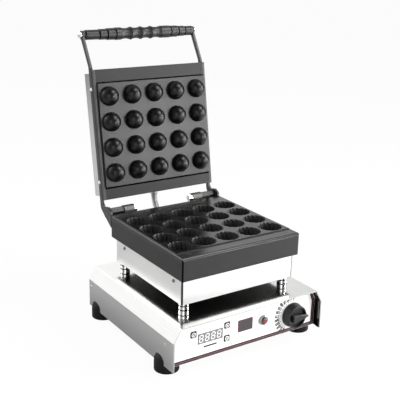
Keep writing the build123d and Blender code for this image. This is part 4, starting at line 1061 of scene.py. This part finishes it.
@dataclass
class LidLead:
    """Braided lead that bows from the base to the lid."""

    radius: float = 5.6 * MM
    sides: int = 32
    route: tuple[Triple, ...] = (
        (0.0, 0.13237, 0.20812), (0.0, 0.12978, 0.19233), (0.0, 0.11342, 0.17270), (0.0, 0.09492, 0.15520),
        (0.0, 0.08642, 0.13820), (0.0, 0.08242, 0.12220), (0.0, 0.08242, 0.10600),
    )

    def build(self, finish: Finish) -> None:
        """Make the tube and hide its plain stand-in.

        Args:
            finish: The woven sleeve.
        """
        line = self.line()
        piece = new_piece("lid_lead", self.tube(line), finish, "")
        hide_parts("lead_conduit")
        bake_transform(piece)

    def line(self) -> list[Vector]:
        """Points along the route's smooth curve."""
        curve = bpy.data.curves.new("lead_route", "CURVE")
        curve.dimensions = "3D"
        spline = curve.splines.new("NURBS")
        spline.points.add(len(self.route) - 1)
        for point, place in zip(spline.points, self.route):
            point.co = (*place, 1.0)
        spline.order_u = 3
        spline.use_endpoint_u = True
        spline.resolution_u = 12
        mesh = mesh_of_curve(curve)
        points = [v.co.copy() for v in mesh.vertices]
        bpy.data.meshes.remove(mesh)
        return points

    def tube(self, line: Sequence[Vector]) -> Mesh:
        """A closed tube round the line, with coordinates round and along it.

        Args:
            line: Points along the middle.

        Returns:
            The tube's mesh.
        """
        lengths = [0.0]
        for a, b in zip(line, line[1:]):
            lengths.append(lengths[-1] + (b - a).length)
        across = Vector((1.0, 0.0, 0.0))
        work = bmesh.new()
        layer = work.loops.layers.uv.new("along")
        rings = []
        for i, middle in enumerate(line):
            ahead = (line[min(i + 1, len(line) - 1)] - line[max(i - 1, 0)]).normalized()
            up = ahead.cross(across).normalized()
            rings.append(add_ring(work, middle, across, up, self.radius, self.sides))
        for i in range(len(rings) - 1):
            for k, face in enumerate(join_rings(work, rings[i], rings[i + 1])):
                spots = ((k, i), (k + 1, i), (k + 1, i + 1), (k, i + 1))
                for loop, (u, v) in zip(face.loops, spots):
                    loop[layer].uv = (u / self.sides, lengths[v] / lengths[-1])
        work.faces.new(rings[0])
        work.faces.new(list(reversed(rings[-1])))
        return mesh_of("lid_lead", work)


# The whole machine and the studio


class Machine:
    """The dressed machine: finishes on its solids, and the pieces added to them."""

    dome_height: float = 18.0 * MM
    # The domes rise from this far under the field's level.
    dome_sink: float = 0.5 * MM

    def __init__(self, record: dict[str, Any]) -> None:
        """Work out the lid's plane and the palette.

        Args:
            record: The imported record.
        """
        self.slots = {part["node"]: part["material_slot"] for part in record["subparts"]}
        turn = next(math.radians(j["range_deg"][1]) for j in frame["joints"] if j["name"] == "lid_hinge")
        # Direction that the open lid's domes point in.
        self.normal = (0.0, -math.sin(turn), -math.cos(turn))
        points = np.array([v.co for v in frame["nodes"]["lid_mould"].data.vertices])
        self.face = float((points @ np.array(self.normal)).max()) - self.dome_height
        self.palette = Palette(self.normal, self.face + self.dome_sink)

    def dress(self) -> None:
        """Give every solid its finish."""
        slots, nodes = self.palette.by_slot(), self.palette.by_node()
        for name, solid in frame["nodes"].items():
            finish = nodes.get(name) or slots[self.slots[name]]
            for place in solid.material_slots:
                place.material = finish.material()
            log.info("%s: %s", name, finish.name)

    def fit(self) -> None:
        """Add the printed details, the domes' coat and the lead."""
        for part in (PrintedBorder(), TimerDisplay(), KeySymbols(), BadgeRim(), DialScale()):
            part.build()
        DomeCoat().build(self.normal, self.face, self.palette.by_node()["lid_mould"])
        LidLead().build(self.palette.by_slot()["braid"])


@dataclass(frozen=True)
class Softbox:
    """Rectangular lamp that looks at the machine's middle."""

    name: str
    place: Triple
    width: float
    height: float
    watts: float

    def build(self, target: Vector) -> None:
        """Put the lamp at its place, counted from the target."""
        light = bpy.data.lights.new(self.name, "AREA")
        light.shape = "RECTANGLE"
        light.size, light.size_y = self.width, self.height
        light.energy = self.watts
        lamp = put(self.name, light)
        lamp.location = target + Vector(self.place)
        lamp.rotation_euler = (-Vector(self.place)).to_track_quat("-Z", "Y").to_euler()


@dataclass
class Studio:
    """Pale floor, soft lamps and the camera of the photograph."""

    target: Triple = (-0.0098, -0.04558, 0.2472)
    azimuth: float = -34.271
    elevation: float = 17.977
    roll: float = 1.51
    distance: float = 1.4184
    lens: float = 71.07
    sensor: float = 36.0
    floor_half: float = 14.0
    floor_drop: float = 0.2 * MM
    room: float = 0.08
    backdrop: float = 1.6
    backdrop_way: Triple = (-0.35, 0.94, 0.0)
    ambient: float = 0.5
    softboxes: tuple[Softbox, ...] = (
        Softbox("key_softbox", (0.866, -1.306, 0.193), 0.38, 0.38, 14.0),
        Softbox("side_softbox", (1.45, -0.62, 0.30), 0.36, 1.1, 27.0),
        Softbox("top_softbox", (0.80, -0.46, 1.30), 0.6, 0.6, 18.0),
        Softbox("fill_softbox", (-1.1, -1.5, 0.6), 1.2, 1.2, 12.0),
        Softbox("back_softbox", (-1.3, 1.5, 1.3), 1.2, 1.2, 26.0),
    )

    def build(self) -> None:
        """Set up everything that isn't the machine."""
        self.floor()
        self.world()
        for softbox in self.softboxes:
            softbox.build(Vector(self.target))
        self.camera()

    def floor(self) -> None:
        """Wide pale floor, just under the feet."""
        half = self.floor_half
        mesh = bpy.data.meshes.new("studio_floor")
        mesh.from_pydata([(-half, -half, 0), (half, -half, 0), (half, half, 0), (-half, half, 0)], [],
                         [(0, 1, 2, 3)])
        floor = put("studio_floor", mesh)
        floor.location.z = -self.floor_drop
        mesh.materials.append(PaleFloor("pale_floor").material())

    def world(self) -> None:
        """White backdrop: behind the machine it lights and mirrors white, in front the room is dim."""
        world = bpy.data.worlds.new("studio")
        bpy.context.scene.world = world
        tree = Tree(world)
        way = tree.along(self.backdrop_way, tree.coordinates["Generated"])
        level = tree.add("MapRange", {
            "Value": way, "From Min": -0.3, "From Max": 0.8,
            "To Min": self.room, "To Max": self.backdrop}, interpolation_type="SMOOTHSTEP")
        mirrored, soft, white = (
            tree.add("Background", {"Color": "#ffffff", "Strength": strength})
            for strength in (level, self.ambient, 1.0)
        )
        path = tree.add("LightPath").outputs
        lit = tree.add("MixShader", {0: path["Is Glossy Ray"], 1: soft, 2: mirrored})
        mixed = tree.add("MixShader", {0: path["Is Camera Ray"], 1: lit, 2: white})
        tree.add("OutputWorld", {"Surface": mixed})

    def camera(self) -> None:
        """Camera at the photograph's viewing angle."""
        a, e = math.radians(self.azimuth), math.radians(self.elevation)
        back = Vector((math.sin(a) * math.cos(e), -math.cos(a) * math.cos(e), math.sin(e)))
        data = bpy.data.cameras.new("camera")
        data.lens = self.lens
        data.sensor_width = self.sensor
        data.clip_start, data.clip_end = 0.05, 50.0
        camera = put("camera", data)
        camera.location = Vector(self.target) + back * self.distance
        look = (-back).to_track_quat("-Z", "Y").to_matrix().to_4x4()
        camera.rotation_euler = (look @ Matrix.Rotation(math.radians(self.roll), 4, "Z")).to_euler()
        bpy.context.scene.camera = camera


def main() -> None:
    """Dress the machine and set up the studio."""
    logging.basicConfig(level=logging.INFO, format="%(name)s %(message)s")
    machine = Machine(frame["record"])
    machine.dress()
    machine.fit()
    Studio().build()
    bpy.context.scene.view_settings.view_transform = "Standard"


if __name__ == "__main__":
    main()
